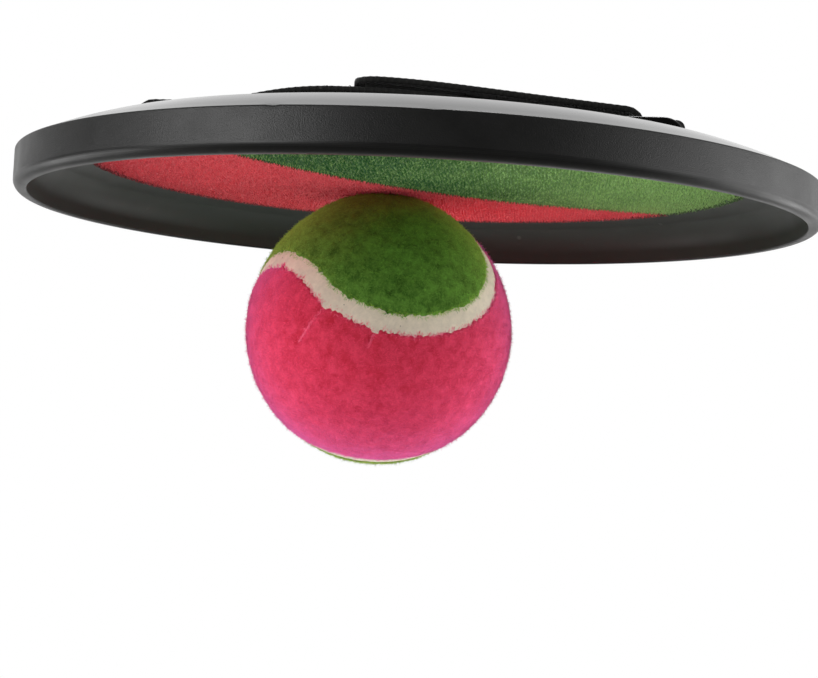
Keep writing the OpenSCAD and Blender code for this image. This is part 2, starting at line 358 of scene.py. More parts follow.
def weave_group(label):
    """Plain weave on a surface in millimetres: yarns that go over and under each other, with painted shade
    where they dip under.
    """
    group, (vector, pitch), end = new_group(label, ("Vector", "Pitch"), ("Height", "Shade"))
    cells = [calc(group, "DIVIDE", axis, pitch) for axis in axes(group, vector)[:2]]
    floors = [calc(group, "FLOOR", cell) for cell in cells]
    over = calc(group, "MODULO", calc(group, "ABSOLUTE", calc(group, "ADD", *floors)), 2.0)
    under = calc(group, "SUBTRACT", 1.0, over)
    arches = []
    for cell in cells:
        centred = calc(group, "SUBTRACT", times(group, calc(group, "FRACT", cell), 2.0), 1.0)
        arches.append(calc(group, "SUBTRACT", 1.0, times(group, centred, centred)))
    height = calc(group, "ADD", times(group, over, arches[0]), times(group, under, arches[1]))
    strands = spread(group, noise_of(group, vector, 3.0, 3), *NOISE_RANGE, 0.7, 1)
    # The shade is darker where the yarns are low: painted shade between them.
    feed(group, end, Height=height,
         Shade=times(group, spread(group, height, 0, 1, 0.45, 1), strands))


def speck_group(label):
    """Scattered small specks, as of dust or lint."""
    group, (vector, scale, share), end = new_group(label, ("Vector", "Scale", "Amount"), ("Mask",))
    cells = add(group, "ShaderNodeTexVoronoi", {"Vector": vector, "Scale": scale}).outputs
    near = spread(group, cells["Distance"], 0.2, 0.1)
    draw = add(group, "ShaderNodeSeparateColor", {0: cells["Color"]}).outputs[0]
    feed(group, end, Mask=times(group, near, calc(group, "LESS_THAN", draw, share)))


GROUPS = {"grain": grain_group, "nap": nap_group, "weave": weave_group, "specks": speck_group}


def use_group(tree, name, **inputs):
    """The outputs of a shared group, which is built on its first use."""
    label = "Paddle " + name
    if label not in bpy.data.node_groups:
        GROUPS[name](label)
    return add(tree, "ShaderNodeGroup", inputs, node_tree=bpy.data.node_groups[label]).outputs


# Materials

def new_material(name, **plain):
    """A material with its tree, its shader with plain values, and Object coordinates."""
    made = bpy.data.materials.new(name)
    made.use_nodes = True
    tree = made.node_tree
    shader = tree.nodes["Principled BSDF"]
    for socket, value in plain.items():
        shader.inputs[socket.replace("_", " ")].default_value = value
    where = tree.nodes.new("ShaderNodeTexCoord").outputs["Object"]
    return made, tree, shader, where


def bump(tree, shader, height, strength, distance):
    """Feeds a height to the shader's normal."""
    made = add(tree, "ShaderNodeBump",
               {"Height": height, "Strength": strength, "Distance": distance})
    feed(tree, shader, Normal=made.outputs[0])


def dimmed(base, share):
    """A colour at a share of its level."""
    return tuple(level * share for level in base)


def plastic(name, base, rough, grain_scale, grain_depth, scuff, gloss=0.5):
    """Black moulded plastic with its grain, slow mottle, scuffs and a few specks of dust."""
    made, tree, shader, where = new_material(name, IOR=1.5, Specular_IOR_Level=gloss)
    grain = use_group(tree, "grain", Vector=where, Scale=grain_scale)
    dust = use_group(tree, "specks", Vector=where, Scale=260.0, Amount=0.05)
    worn = times(tree, grain["Scuffs"], scuff)
    marks = calc(tree, "ADD", worn, times(tree, dust["Mask"], 0.5), clamp=True)
    paler = tuple(min(1, level * 2.2 + 0.012) for level in base)
    mottle = spread(tree, grain["Mottle"], *NOISE_RANGE, rough - 0.05, rough + 0.05)
    feed(tree, shader, Base_Color=mix(tree, marks, base, paler),
         Roughness=calc(tree, "ADD", mottle, times(tree, worn, 0.15)))
    bump(tree, shader, grain["Height"], 0.5, grain_depth)
    return made


def felt(name, base, deep, frayed, sheen):
    """Napped felt. Fibres carry a tint, past 1 where they are frayed, and the cloth has none."""
    made, tree, shader, where = new_material(
        name, Roughness=0.95, Sheen_Weight=1.0, Sheen_Roughness=0.5, Specular_IOR_Level=0.1,
        Sheen_Tint=(*sheen, 1))
    nap = use_group(tree, "nap", Vector=where, Scale=1500.0)
    tint = attribute(tree, "tint")
    matted = spread(tree, noise_of(tree, where, 420.0, 3), *NOISE_RANGE, -0.1, 0.3)
    fibre = calc(tree, "MULTIPLY_ADD", tint, 0.6, matted)
    # The nap's share of the shade is darker deep in the nap: painted shade. The tints and the matted noise
    # vary at random.
    shade = calc(tree, "MULTIPLY_ADD", nap["Shade"], 0.5, fibre, clamp=True)
    loose = calc(tree, "SUBTRACT", tint, 1.0, clamp=True)
    feed(tree, shader, Base_Color=mix(tree, loose, mix(tree, shade, deep, base), frayed))
    bump(tree, shader, nap["Height"], 0.6, 0.3 * MM)
    return made


def hook_plastic(name, base, deep, painted_side_light, contrast):
    """Hooks of the face: painted highlight on the tips, painted shade at the roots, along the joint and
    along the cut edge, and painted light that makes one side paler.
    """
    made, tree, shader, where = new_material(name, Roughness=0.5, Specular_IOR_Level=0.4,
                                             Sheen_Weight=0.15)
    tint = attribute(tree, "tint")
    # A random share of the hooks is made bright: partly random tone, partly painted glints.
    lit = calc(tree, "POWER", calc(tree, "MAXIMUM", tint, 0.0), contrast)
    # Darker at the roots and paler at the tips, by the share of height up: painted shade and painted
    # highlight.
    tips = spread(tree, attribute(tree, "up"), 0.1, 0.9, 0.2, 1)
    slow = spread(tree, noise_of(tree, where, 60.0, 3), *NOISE_RANGE, 0, 0.25)
    # Paler towards +x across the face: painted light on one side.
    side = spread(tree, axes(tree, where)[0], -0.03, 0.05, -painted_side_light, painted_side_light)
    shade = calc(tree, "ADD", times(tree, times(tree, lit, 1.1), tips),
                 calc(tree, "ADD", slow, side), clamp=True)
    # Negative tints, along the joint and the cut edge, turn to a dark colour: painted shade.
    edge = calc(tree, "MULTIPLY", tint, -1.0, clamp=True)
    feed(tree, shader,
         Base_Color=mix(tree, edge, mix(tree, shade, deep, base), dimmed(deep, 0.2)))
    return made


def backing_cloth(name, base, deep, reach):
    """Woven backing between the hooks, darker along its cut edge: painted shade where it meets the dish
    wall, and painted shade in the weave.
    """
    made, tree, shader, where = new_material(name, Roughness=0.9, Specular_IOR_Level=0.2)
    millimetres = vector_calc(tree, "SCALE", where, Scale=1 / MM)[0]
    yarns = use_group(tree, "weave", Vector=millimetres, Pitch=0.5)
    flat = vector_calc(tree, "MULTIPLY", where, (1, 1, 0))[0]
    away = vector_calc(tree, "LENGTH", flat)["Value"]
    # Darker towards the cut edge: painted shade.
    edge = spread(tree, away, reach - 2 * MM, reach - 0.8 * MM)
    # The weave's shade is painted shade between the yarns.
    cloth = mix(tree, times(tree, yarns["Shade"], 0.5), deep, base)
    feed(tree, shader, Base_Color=mix(tree, edge, cloth, dimmed(deep, 0.15)))
    bump(tree, shader, yarns["Height"], 0.6, 0.2 * MM)
    return made


def woven(name, base, pitch, depth):
    """Black webbing or tape, woven along its own length."""
    made, tree, shader, where = new_material(name, Roughness=0.8, Sheen_Weight=0.15,
                                             Sheen_Roughness=0.4, Specular_IOR_Level=0.35)
    strip = add(tree, "ShaderNodeUVMap", uv_map="strip").outputs[0]
    yarns = use_group(tree, "weave", Vector=strip, Pitch=pitch)
    lint = use_group(tree, "specks", Vector=where, Scale=500.0, Amount=0.04)
    # Darker where the yarns dip: painted shade in the weave.
    cloth = mix(tree, yarns["Shade"], dimmed(base, 0.45), base)
    feed(tree, shader,
         Base_Color=mix(tree, times(tree, lint["Mask"], 0.35), cloth, linear(120, 116, 110)))
    bump(tree, shader, yarns["Height"], 0.7, depth)
    return made


def yarn(name, base):
    """Sewing thread, hooks and loops of the tapes."""
    made, tree, shader, where = new_material(name, Roughness=0.45, Sheen_Weight=0.2)
    lay = spread(tree, noise_of(tree, where, 2500.0, 2), 0.35, 0.65)
    feed(tree, shader, Base_Color=mix(tree, lay, dimmed(base, 0.55), base))
    return made


def cement(name, base):
    """Cream seam: dry cement with a faint grain and painted shade in its hollows, fibres pressed into it and
    dark specks.
    """
    made, tree, shader, where = new_material(name, Roughness=0.8, Specular_IOR_Level=0.3)
    nap = use_group(tree, "nap", Vector=where, Scale=700.0)
    dirt = use_group(tree, "specks", Vector=where, Scale=1000.0, Amount=0.16)
    # Darker where the grain is low: painted shade.
    painted_hollow_shade = mix(tree, nap["Shade"], dimmed(base, 0.8), base)
    feed(tree, shader,
         Base_Color=mix(tree, times(tree, dirt["Mask"], 0.8), painted_hollow_shade, linear(86, 70, 60)))
    bump(tree, shader, nap["Height"], 0.35, 0.15 * MM)
    return made


def plain_solid(name, base, rough):
    """Hidden pieces: bonding sheet and rubber core."""
    made, tree, shader, where = new_material(name)
    grain = use_group(tree, "grain", Vector=where, Scale=1200.0)
    feed(tree, shader, Base_Color=mix(tree, grain["Mottle"], dimmed(base, 0.75), base),
         Roughness=spread(tree, grain["Mottle"], *NOISE_RANGE, rough - 0.08, rough + 0.08))
    bump(tree, shader, grain["Height"], 0.3, 0.05 * MM)
    return made


# Meshes

def link(name, data):
    """A new object at the origin with that data."""
    made = bpy.data.objects.new(name, data)
    bpy.context.scene.collection.objects.link(made)
    return made


def new_piece(name, bm, *materials):
    """Links a bmesh as an object at the origin."""
    mesh = bpy.data.meshes.new(name)
    bm.to_mesh(mesh)
    bm.free()
    for material in materials:
        mesh.materials.append(material)
    mesh.shade_smooth()
    return link(name, mesh)


def settle(piece):
    """Applies a piece's modifiers to its mesh."""
    graph = bpy.context.evaluated_depsgraph_get()
    piece.data = bpy.data.meshes.new_from_object(
        piece.evaluated_get(graph), preserve_all_data_layers=True, depsgraph=graph)
    piece.modifiers.clear()
    return piece


def even_normals(piece):
    """Lets the large faces of a moulded piece set its shading."""
    piece.modifiers.new("Even normals", "WEIGHTED_NORMAL").keep_sharp = True
    return settle(piece)


def thicken(piece, thickness, offset=-1):
    """Makes a surface thick: inwards, or to both sides alike at an offset of 0."""
    solid = piece.modifiers.new("Thickness", "SOLIDIFY")
    solid.thickness = thickness
    solid.offset = offset
    return settle(piece)


def seat(piece, body, slot, *nodes):
    """Rides a piece on a body and hides the nodes that it stands for. Its slot is not used."""
    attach(piece, body)
    if nodes:
        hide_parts(*nodes)
    return piece


def scatter_group():
    """Geometry nodes that set a template on each point, turned and sized by its attributes."""
    group = bpy.data.node_groups.new("Paddle scatter", "GeometryNodeTree")
    group.interface.new_socket("Points", in_out="INPUT", socket_type="NodeSocketGeometry")
    group.interface.new_socket("Template", in_out="INPUT", socket_type="NodeSocketObject")
    group.interface.new_socket("Geometry", in_out="OUTPUT", socket_type="NodeSocketGeometry")
    start = group.nodes.new("NodeGroupInput")
    end = group.nodes.new("NodeGroupOutput")
    info = add(group, "GeometryNodeObjectInfo", {"Object": start.outputs["Template"]})
    turns, sizes = (add(group, "GeometryNodeInputNamedAttribute", {"Name": name},
                        data_type="FLOAT_VECTOR").outputs[0] for name in ("turn", "size"))
    euler = add(group, "FunctionNodeEulerToRotation", {0: turns})
    placed = add(group, "GeometryNodeInstanceOnPoints",
                 {"Points": start.outputs["Points"], "Instance": info.outputs["Geometry"],
                  "Rotation": euler.outputs[0], "Scale": sizes})
    whole = add(group, "GeometryNodeRealizeInstances", {0: placed.outputs[0]})
    group.links.new(whole.outputs[0], end.inputs[0])
    return group


def scatter(name, template, spots):
    """One mesh with the template on every spot: its place, its Euler turn, its size, its tint."""
    mesh = bpy.data.meshes.new(name)
    mesh.vertices.add(len(spots))
    mesh.vertices.foreach_set("co", [c for spot in spots for c in spot[0]])
    for label, index in (("turn", 1), ("size", 2)):
        layer = mesh.attributes.new(label, "FLOAT_VECTOR", "POINT")
        layer.data.foreach_set("vector", [c for spot in spots for c in spot[index]])
    tints = mesh.attributes.new("tint", "FLOAT", "POINT")
    tints.data.foreach_set("value", [spot[3] for spot in spots])
    piece = link(name, mesh)
    group = bpy.data.node_groups.get("Paddle scatter") or scatter_group()
    modifier = piece.modifiers.new("Scatter", "NODES")
    modifier.node_group = group
    socket = next(item for item in group.interface.items_tree if item.name == "Template")
    modifier[socket.identifier] = template
    settle(piece)
    for label in ("turn", "size"):
        piece.data.attributes.remove(piece.data.attributes[label])
    bpy.data.objects.remove(template)
    return piece


def only(kind, geom):
    """The elements of one kind."""
    return [item for item in geom if isinstance(item, kind)]


def everything(bm):
    """All elements of a bmesh."""
    return bm.verts[:] + bm.edges[:] + bm.faces[:]


def grow_faces(bm, faces):
    """Extrudes faces in place, and gives the new faces and their vertices."""
    made = bmesh.ops.extrude_face_region(bm, geom=faces)["geom"]
    return only(FACE, made), only(VERT, made)


def grow_edges(bm, edges):
    """Extrudes edges in place, and gives the new edges and their vertices."""
    made = bmesh.ops.extrude_edge_only(bm, edges=edges)["geom"]
    return only(EDGE, made), only(VERT, made)


def chain(bm, verts):
    """Joins vertices in a row by edges."""
    return [bm.edges.new(pair) for pair in zip(verts, verts[1:])]


def lathe(bm, outline, steps):
    """Turns an outline of radius and height about Z."""
    verts = [bm.verts.new((radius, 0, height)) for radius, height in outline]
    bmesh.ops.spin(bm, geom=verts + chain(bm, verts), axis=UP, cent=(0, 0, 0), angle=math.tau,
                   steps=steps, use_merge=True)
    bmesh.ops.remove_doubles(bm, verts=bm.verts, dist=1e-6)
    bmesh.ops.recalc_face_normals(bm, faces=bm.faces)


def round_off(bm, geom, offset, segments, affect="EDGES"):
    """Rounds edges or corners."""
    bmesh.ops.bevel(bm, geom=geom, offset=offset, offset_type="OFFSET", segments=segments,
                    profile=0.5, affect=affect, material=-1)


def round_ring(bm, place, offset, segments):
    """Rounds the ring of edges that a point of the outline has turned into."""
    def on_ring(vert):
        return abs(vert.co.xy.length - place[0]) < 1e-5 and abs(vert.co.z - place[1]) < 1e-5
    ring = [e for e in bm.edges if on_ring(e.verts[0]) and on_ring(e.verts[1])]
    round_off(bm, ring, offset, segments)


def clamped(value):
    """A value kept between 0 and 1."""
    return min(1, max(0, value))


# Dish

# Materials of the dish, in order, and the slope of the faces that are polished
GRAINED, POLISHED, SATIN = range(3)
POLISHED_SLOPE = 0.8
# Limit of the slope and gloss of each finish of the lip, which follow in order
LIP_FINISHES = ((-0.05, 0.4), (-0.2, 0.3), (-0.36, 0.21), (-0.5, 0.14))
# Rounded edges after the lip: offset in millimetres, and segments
LIP_SEGMENTS = 10
ROUNDED = (("inner lip", 0.4, 4), ("corner", 4.8, 16), ("parting edge", 0.25, 3),
           ("back edge", 1.2, 5), ("floor edge", 0.4, 3))
# Moulding nicks on the parting edge: direction and depth in millimetres, and their half width
NICKS = ((-1.715, 0.2), (-1.39, 0.12))
NICK_WIDTH = 0.009
NICK_FALL = 0.6
# The shoulder bows out a little, and its outermost band is plain
SHOULDER_BOW = 0.25 * MM
SHOULDER_STEPS = 6
PLAIN_BAND = MM


def dish_outline(s):
    """Outline of the dish before its edges are rounded, from the back round to the floor."""
    slope = math.atan2(s.shoulder_height, s.shoulder_width)
    inner = s.rim_radius - s.rim_wall
    back = s.rim_radius - s.shoulder_width
    floor = back - s.wall * math.tan(slope / 2)
    corner = -s.wall - (inner - floor) * math.tan(slope)
    shoulder = {}
    for step in range(1, SHOULDER_STEPS):
        share = step / SHOULDER_STEPS
        run = (s.shoulder_width - PLAIN_BAND) * share
        bow = SHOULDER_BOW * 4 * share * (1 - share)
        shoulder[f"shoulder {step}"] = (back + run, bow - run * math.tan(slope))
    above = PLAIN_BAND * math.tan(slope) - s.shoulder_height
    return {"centre": (0, 0), "back edge": (back, 0), **shoulder,
            "above parting": (s.rim_radius - PLAIN_BAND, above),
            "parting edge": (s.rim_radius, -s.shoulder_height),
            "below parting": (s.rim_radius, -s.shoulder_height - PLAIN_BAND),
            "lip": (s.rim_radius, s.lip_height), "inner lip": (inner, s.lip_height),
            "corner": (inner, corner), "floor edge": (floor, -s.wall),
            "floor centre": (0, -s.wall)}


def cut_nicks(bm, s):
    """Sets the vertices of the parting edge back at the nicks."""
    for angle, depth in NICKS:
        for vert in bm.verts:
            near = abs(math.atan2(vert.co.y, vert.co.x) - angle) < NICK_WIDTH
            level = abs(vert.co.z + s.shoulder_height) < 0.5 * MM
            if near and level and vert.co.xy.length > s.rim_radius - PLAIN_BAND:
                vert.co -= depth * MM * Vector((math.cos(angle), math.sin(angle), NICK_FALL))


def build_dish(s, finishes):
    """Turned dish: grained wall, polished back, satin inside, and a lip that turns matt."""
    bm = bmesh.new()
    outline = dish_outline(s)
    lathe(bm, list(outline.values()), s.steps)
    round_ring(bm, outline["lip"], s.lip_round, LIP_SEGMENTS)
    for name, offset, segments in ROUNDED:
        round_ring(bm, outline[name], offset * MM, segments)
    cut_nicks(bm, s)
    inside = outline["inner lip"][0] + 0.05 * MM
    inner_lip = s.lip_height + 0.4 * MM
    for face in bm.faces:
        middle = face.calc_center_median()
        if face.normal.z > POLISHED_SLOPE:
            face.material_index = POLISHED
        elif middle.xy.length < inside and middle.z > inner_lip:
            face.material_index = SATIN
        else:
            passed = sum(face.normal.z < limit for limit, gloss in LIP_FINISHES)
            face.material_index = SATIN + passed if passed else GRAINED
    seat(even_normals(new_piece("dish_shell", bm, *finishes)), "paddle", "dish_plastic", "dish")


# Strap bridges: depth below the back, roundings of the ears' ends and edges
BRIDGE_ROOT = 0.3 * MM
EAR_ENDS = (5 * MM, 2.5 * MM)
EAR_EDGE = 0.45 * MM


def build_bridges(s, finish):
    """Two moulded bridges: ears with rounded ends, a round inner bar and a flat outer bar."""
    bm = bmesh.new()
    corners = ((s.bridge_start, -BRIDGE_ROOT), (s.bridge_end, -BRIDGE_ROOT),
               (s.bridge_end, s.bridge_top), (s.bridge_start, s.bridge_top))
    verts = [bm.verts.new((x, s.ear_side, z)) for x, z in corners]
    bm.faces.new(verts)
    for vert, radius in zip(verts[2:], EAR_ENDS):
        round_off(bm, [vert], radius, 10, "VERTICES")
    verts = grow_faces(bm, bm.faces[:])[1]
    bmesh.ops.translate(bm, verts=verts, vec=(0, s.ear_wall, 0))

    def run(edge):
        return abs(edge.verts[0].co.y - edge.verts[1].co.y)
    round_off(bm, [e for e in bm.edges if run(e) < 1e-6], EAR_EDGE, 3)
    bmesh.ops.mirror(bm, geom=everything(bm), axis="Y", merge_dist=1e-7)
    span = 2 * s.ear_side + s.ear_wall
    across = Matrix.Rotation(math.pi / 2, 4, "X")
    bmesh.ops.create_cone(bm, cap_ends=True, segments=32, radius1=s.bar_radius,
                          radius2=s.bar_radius, depth=span,
                          matrix=Matrix.Translation((s.inner_bar, 0, s.bar_height)) @ across)
    middle = (s.outer_bar_start + s.outer_bar_end) / 2
    size = (s.outer_bar_end - s.outer_bar_start, span, 2 * s.bar_radius, 1)
    flat = Matrix.Translation((middle, 0, s.bar_height)) @ Matrix.Diagonal(size)
    verts = bmesh.ops.create_cube(bm, size=1, matrix=flat)["verts"]
    long_edges = {e for v in verts for e in v.link_edges if run(e) > span / 2}
    round_off(bm, list(long_edges), s.bar_radius * 0.98, 8)
    bmesh.ops.mirror(bm, geom=everything(bm), axis="X", merge_dist=1e-7)
    bmesh.ops.recalc_face_normals(bm, faces=bm.faces)
    seat(even_normals(new_piece("strap_bridges", bm, finish)), "paddle", "dish_plastic")


class PADDLE_OT_dish(bpy.types.Operator):
    """Build the moulded dish and its strap bridges"""

    bl_idname = "paddle.dish"
    bl_label = "Dish"

    def execute(self, context):
        s = context.scene.paddle_dish
        fine = {"grain_scale": 2200.0, "grain_depth": 0.02 * MM}
        finishes = [
            plastic("grained_plastic", s.grained, rough=0.42, grain_scale=4200.0,
                    grain_depth=0.13 * MM, scuff=0.2),
            plastic("polished_plastic", s.polished, rough=0.12, grain_scale=1500.0,
                    grain_depth=0.003 * MM, scuff=0.1),
            plastic("satin_plastic", s.satin, rough=0.42, scuff=0.15, gloss=0.14, **fine)]
        for number, (limit, gloss) in enumerate(LIP_FINISHES):
            finishes.append(plastic(f"lip_plastic_{number}", s.grained, rough=0.38, scuff=0.2,
                                    gloss=gloss, **fine))
        build_dish(s, finishes)
        build_bridges(s, finishes[POLISHED])
        return {"FINISHED"}


# Face

# Rows of the backing along the joint, by distance from it in millimetres
JOINT_ROWS = (0.1, 1.0, 1.4, 1.8, 2.2, 2.6, 3.6)
JOINT_STEPS = 120
EDGE_STEPS = 160
# How far the lap reaches from the joint, the run over which it falls off, and its faded ends
LAP_REACH, LAP_RUN = 2.6 * MM, 1.6 * MM
LAP_ENDS = (0.03, 0.99)
LAP_FADES = (4, 20)
# Hooks: size of a hook, its bends and its random draws
HOOK_REACH = 0.3 * MM
HOOK_ROOT = 0.18 * MM
HOOK_BENDS = ((0.62, 0, 0.35, 0.85), (0.38, 1, 1.1, 0.6))
HOOK_JITTER = 0.25
HOOK_YAW = 0.6
HOOK_LEAN = 0.2
HOOK_HEIGHTS = (0.85, 1.08)
HOOK_SUNK = 0.05 * MM
# Hooks keep off the edges, and are dark near the joint and near the cut edge: painted shade along the joint
# and where the fabric meets the dish wall
HOOK_MARGIN = 0.3 * MM
PAINTED_SHADE_JOINT = 1.2 * MM
PAINTED_SHADE_JOINT_TINTS = (0.2, 0.6)
PAINTED_SHADE_EDGE = (1.2, 3.8)
PAINTED_SHADE_EDGE_TINTS = (0.4, 1)


def split_centre(s):
    """Centre of the arc where the fabrics meet."""
    away = Vector((math.cos(s.split_turn), math.sin(s.split_turn), 0))
    return (s.split_bow - s.split_radius) * away


def crossing(s, radius):
    """Half the angle, from the split's centre, that an arc of that radius spans in the face."""
    far = split_centre(s).length
    return math.acos((far ** 2 + radius ** 2 - s.radius ** 2) / (2 * far * radius))


def lap(s, inset, share):
    """How far the fabric stands up, by distance from the joint and by place along it."""
    rise = clamped((LAP_REACH - inset) / LAP_RUN)
    fade = clamped(LAP_FADES[0] * (share - LAP_ENDS[0]))
    fade *= clamped(LAP_FADES[1] * (LAP_ENDS[1] - share))
    return s.lap_height * rise * rise * (3 - 2 * rise) * fade


def joint_row(s, side, inset):
    """Points along the joint, inset from it, from one end to the other."""
    centre = split_centre(s)
    radius = s.split_radius - side * inset
    half = crossing(s, radius)
    points = []
    for step in range(JOINT_STEPS + 1):
        share = step / JOINT_STEPS
        angle = s.split_turn + half * (2 * share - 1)
        place = centre + radius * Vector((math.cos(angle), math.sin(angle), 0))
        place.z = s.backing_top - s.backing - (lap(s, inset, share) if side > 0 else 0)
        points.append(place)
    return points


def build_backing(s, side, name, material):
    """Woven backing of one fabric: rows along the joint, and one field out to the edge."""
    bm = bmesh.new()
    row = [bm.verts.new(place) for place in joint_row(s, side, JOINT_ROWS[0] * MM)]
    edges = chain(bm, row)
    for inset in JOINT_ROWS[1:]:
        edges, verts = grow_edges(bm, edges)
        ends = {v: min(range(len(row)), key=lambda i: (v.co - row[i].co).length_squared)
                for v in verts}
        row = sorted(ends, key=ends.get)
        for vert, place in zip(row, joint_row(s, side, inset * MM)):
            vert.co = place
    first, last = row[0].co.copy(), row[-1].co.copy()
    start = math.atan2(last.y, last.x)
    sweep = (math.atan2(first.y, first.x) - start) % math.tau
    if side < 0:
        sweep -= math.tau
    made = bmesh.ops.spin(bm, geom=[row[-1]], axis=UP, cent=(0, 0, last.z), angle=sweep,
                          steps=EDGE_STEPS)["geom_last"]
    bmesh.ops.weld_verts(bm, targetmap={v: row[0] for v in only(VERT, made)})
    bmesh.ops.edgeloop_fill(bm, edges=edges + [e for e in bm.edges if e.is_wire])
    bmesh.ops.recalc_face_normals(bm, faces=bm.faces)
    if sum(face.normal.z * face.calc_area() for face in bm.faces) > 0:
        bmesh.ops.reverse_faces(bm, faces=bm.faces)
    return thicken(new_piece(name, bm, material), s.backing)


def new_hook(name, material, height, reach, root):
    """A small hook that stands on Z and bends over towards X."""
    bm = bmesh.new()
    bmesh.ops.create_circle(bm, cap_ends=True, segments=3, radius=root)
    tip = bm.faces[:]
    for rise, out, bend, shrink in HOOK_BENDS:
        tip, verts = grow_faces(bm, tip)
        bmesh.ops.translate(bm, verts=verts, vec=(reach * out, 0, height * rise))
        middle = tip[0].calc_center_median()
        bmesh.ops.rotate(bm, verts=verts, cent=middle, matrix=Matrix.Rotation(bend, 3, "Y"))
        bmesh.ops.scale(bm, verts=verts, vec=(shrink,) * 3, space=Matrix.Translation(-middle))
    bmesh.ops.pointmerge(bm, verts=verts, merge_co=middle)
    bmesh.ops.recalc_face_normals(bm, faces=bm.faces)
    # The share of height, up, makes the face hooks darker at the roots and paler at the tips: painted shade
    # and painted highlight.
    up = bm.verts.layers.float.new("up")
    for vert in bm.verts:
        vert[up] = vert.co.z / height
    hook = new_piece(name, bm, material)
    hook.data.shade_flat()
    return hook


def hook_spots(s, seed):
    """Spots of the face's hooks, in staggered rows, for the red and the green fabric."""
    draw = random.Random(seed)
    centre = split_centre(s)
    rows = Matrix.Rotation(s.row_turn, 3, "Z")
    reach = int(s.radius / s.hook_pitch) + 1

    def jitter():
        return draw.uniform(-HOOK_JITTER, HOOK_JITTER)
    red, green = [], []
    for i in range(-reach, reach + 1):
        for j in range(-reach, reach + 1):
            odd = j % 2
            spot = rows @ Vector((i + 0.5 * odd + jitter(), j + jitter(), 0))
            spot *= s.hook_pitch
            yaw = s.row_turn + math.pi * odd + draw.uniform(-HOOK_YAW, HOOK_YAW)
            lean = draw.uniform(-HOOK_LEAN, HOOK_LEAN)
            tall = draw.uniform(*HOOK_HEIGHTS)
            tint = draw.random()
            inset = s.split_radius - (spot - centre).length
            edge = s.radius - spot.length
            if edge < HOOK_MARGIN or abs(inset) < HOOK_MARGIN:
                continue
            spot.z = s.backing_top - s.backing + HOOK_SUNK
            if inset > 0:
                angle = math.atan2(spot.y - centre.y, spot.x - centre.x)
                half = crossing(s, s.split_radius - inset)
                spot.z -= lap(s, inset, 0.5 + (angle - s.split_turn) / (2 * half))
                # Hooks near the joint get a dark tint: painted shade.
                if inset < PAINTED_SHADE_JOINT:
                    tint = -draw.uniform(*PAINTED_SHADE_JOINT_TINTS)
            # Hooks near the cut edge get a dark tint: painted shade.
            if edge < draw.uniform(*PAINTED_SHADE_EDGE) * MM:
                tint = -draw.uniform(*PAINTED_SHADE_EDGE_TINTS)
            size = (tall, tall, tall * min(1, 0.7 + 0.3 * edge / MM))
            fabric = green if inset > 0 else red
            fabric.append((spot, (math.pi + lean, 0, yaw), size, tint))
    return red, green


class PADDLE_OT_face(bpy.types.Operator):
    """Build the two hook fabrics of the face"""

    bl_idname = "paddle.face"
    bl_label = "Face"

    def execute(self, context):
        s = context.scene.paddle_face
        tall = s.backing_top - s.backing - s.tips
        red, green = hook_spots(s, seed=7)
        # The first value of each look makes that fabric paler to one side: painted light.
        fabrics = (("red", -1, s.red, s.red_dark, {"painted_side_light": 0.1, "contrast": 1.2}, red),
                   ("green", 1, s.green, s.green_dark, {"painted_side_light": 0.5, "contrast": 3.0}, green))
        for name, side, bright, deep, look, spots in fabrics:
            weave_cloth = backing_cloth(f"{name}_backing_cloth", bright, deep, s.radius)
            cloth = build_backing(s, side, f"{name}_backing", weave_cloth)
            seat(cloth, "paddle", f"hook_fabric_{name}", f"face_{name}")
            drawn = hook_plastic(f"{name}_hook_yarn", bright, deep, **look)
            hook = new_hook("hook", drawn, tall, HOOK_REACH, HOOK_ROOT)
            hooks = scatter(f"{name}_hooks", hook, spots)
            seat(hooks, "paddle", f"hook_fabric_{name}")
            hooks.visible_shadow = name == "green"
        return {"FINISHED"}


# Strap

# Its route, in millimetres in the XZ plane, as in the part's source
BAR = Vector((47.3, 4.9))
LOOP_CENTRE = Vector((-57.7, 5.4))
LOOP_RADIUS = 3.35
LOOP_TOP = Vector((-45, LOOP_CENTRE.y + LOOP_RADIUS))
LOOP_LOW = Vector((-45, LOOP_CENTRE.y - LOOP_RADIUS))
PEAK = Vector((-14, 12.5))
PART = Vector((12, 10.8))
PART_FALL = Vector((1, -0.11))
FOLD_CENTRE = BAR + Vector((math.cos(math.radians(130)), math.sin(math.radians(130))))
FOLD_RADIUS = 3.85
TAIL_ANGLE = math.radians(84)
TAIL_RISE = 2.5
SEWN_START, SEWN_END = -33, -22
SEWN_DROP = 1.5
# Tapes: where the loop tape starts, and heights in millimetres above the webbing's middle line
LOOP_TAPE_START = -20
LOOP_TAPE_RISE, HOOK_TAPE_RISE = 0.9, 1.6
LOOPS_RISE, HOOKS_RISE = 1.12, 1.38
TAPE_YARN = 0.02 * MM
# Random draws of the tapes' hooks and loops
PILE_JITTER, PILE_SLIDE, PILE_YAW = 0.2, 0.4, 0.5
PILE_SIZES = (0.8, 1.2)
# Stitching, in millimetres: its distance from the edges, its heights, and its places in x
STITCH_MARGIN = 1.6
STITCH_LIFT = 0.05
TAPE_STITCH_RISE = 1.2
SEWN_BOX, SEWN_LINES, SEWN_ROWS = (-32, -23), (-33, -21.5), (-32.5, -22.5)
TAPE_LINES, TAPE_ROW = (-20, 12), -19
TAIL_LINES, TAIL_ROWS = (-10, 11), (-11, 11.2)


def bezier(a, b, c, d, steps):
    """Points of a cubic curve from a to d."""
    points = []
    for step in range(steps + 1):
        t = step / steps
        s = 1 - t
        points.append(s ** 3 * a + 3 * s * s * t * b + 3 * s * t * t * c + t ** 3 * d)
    return points


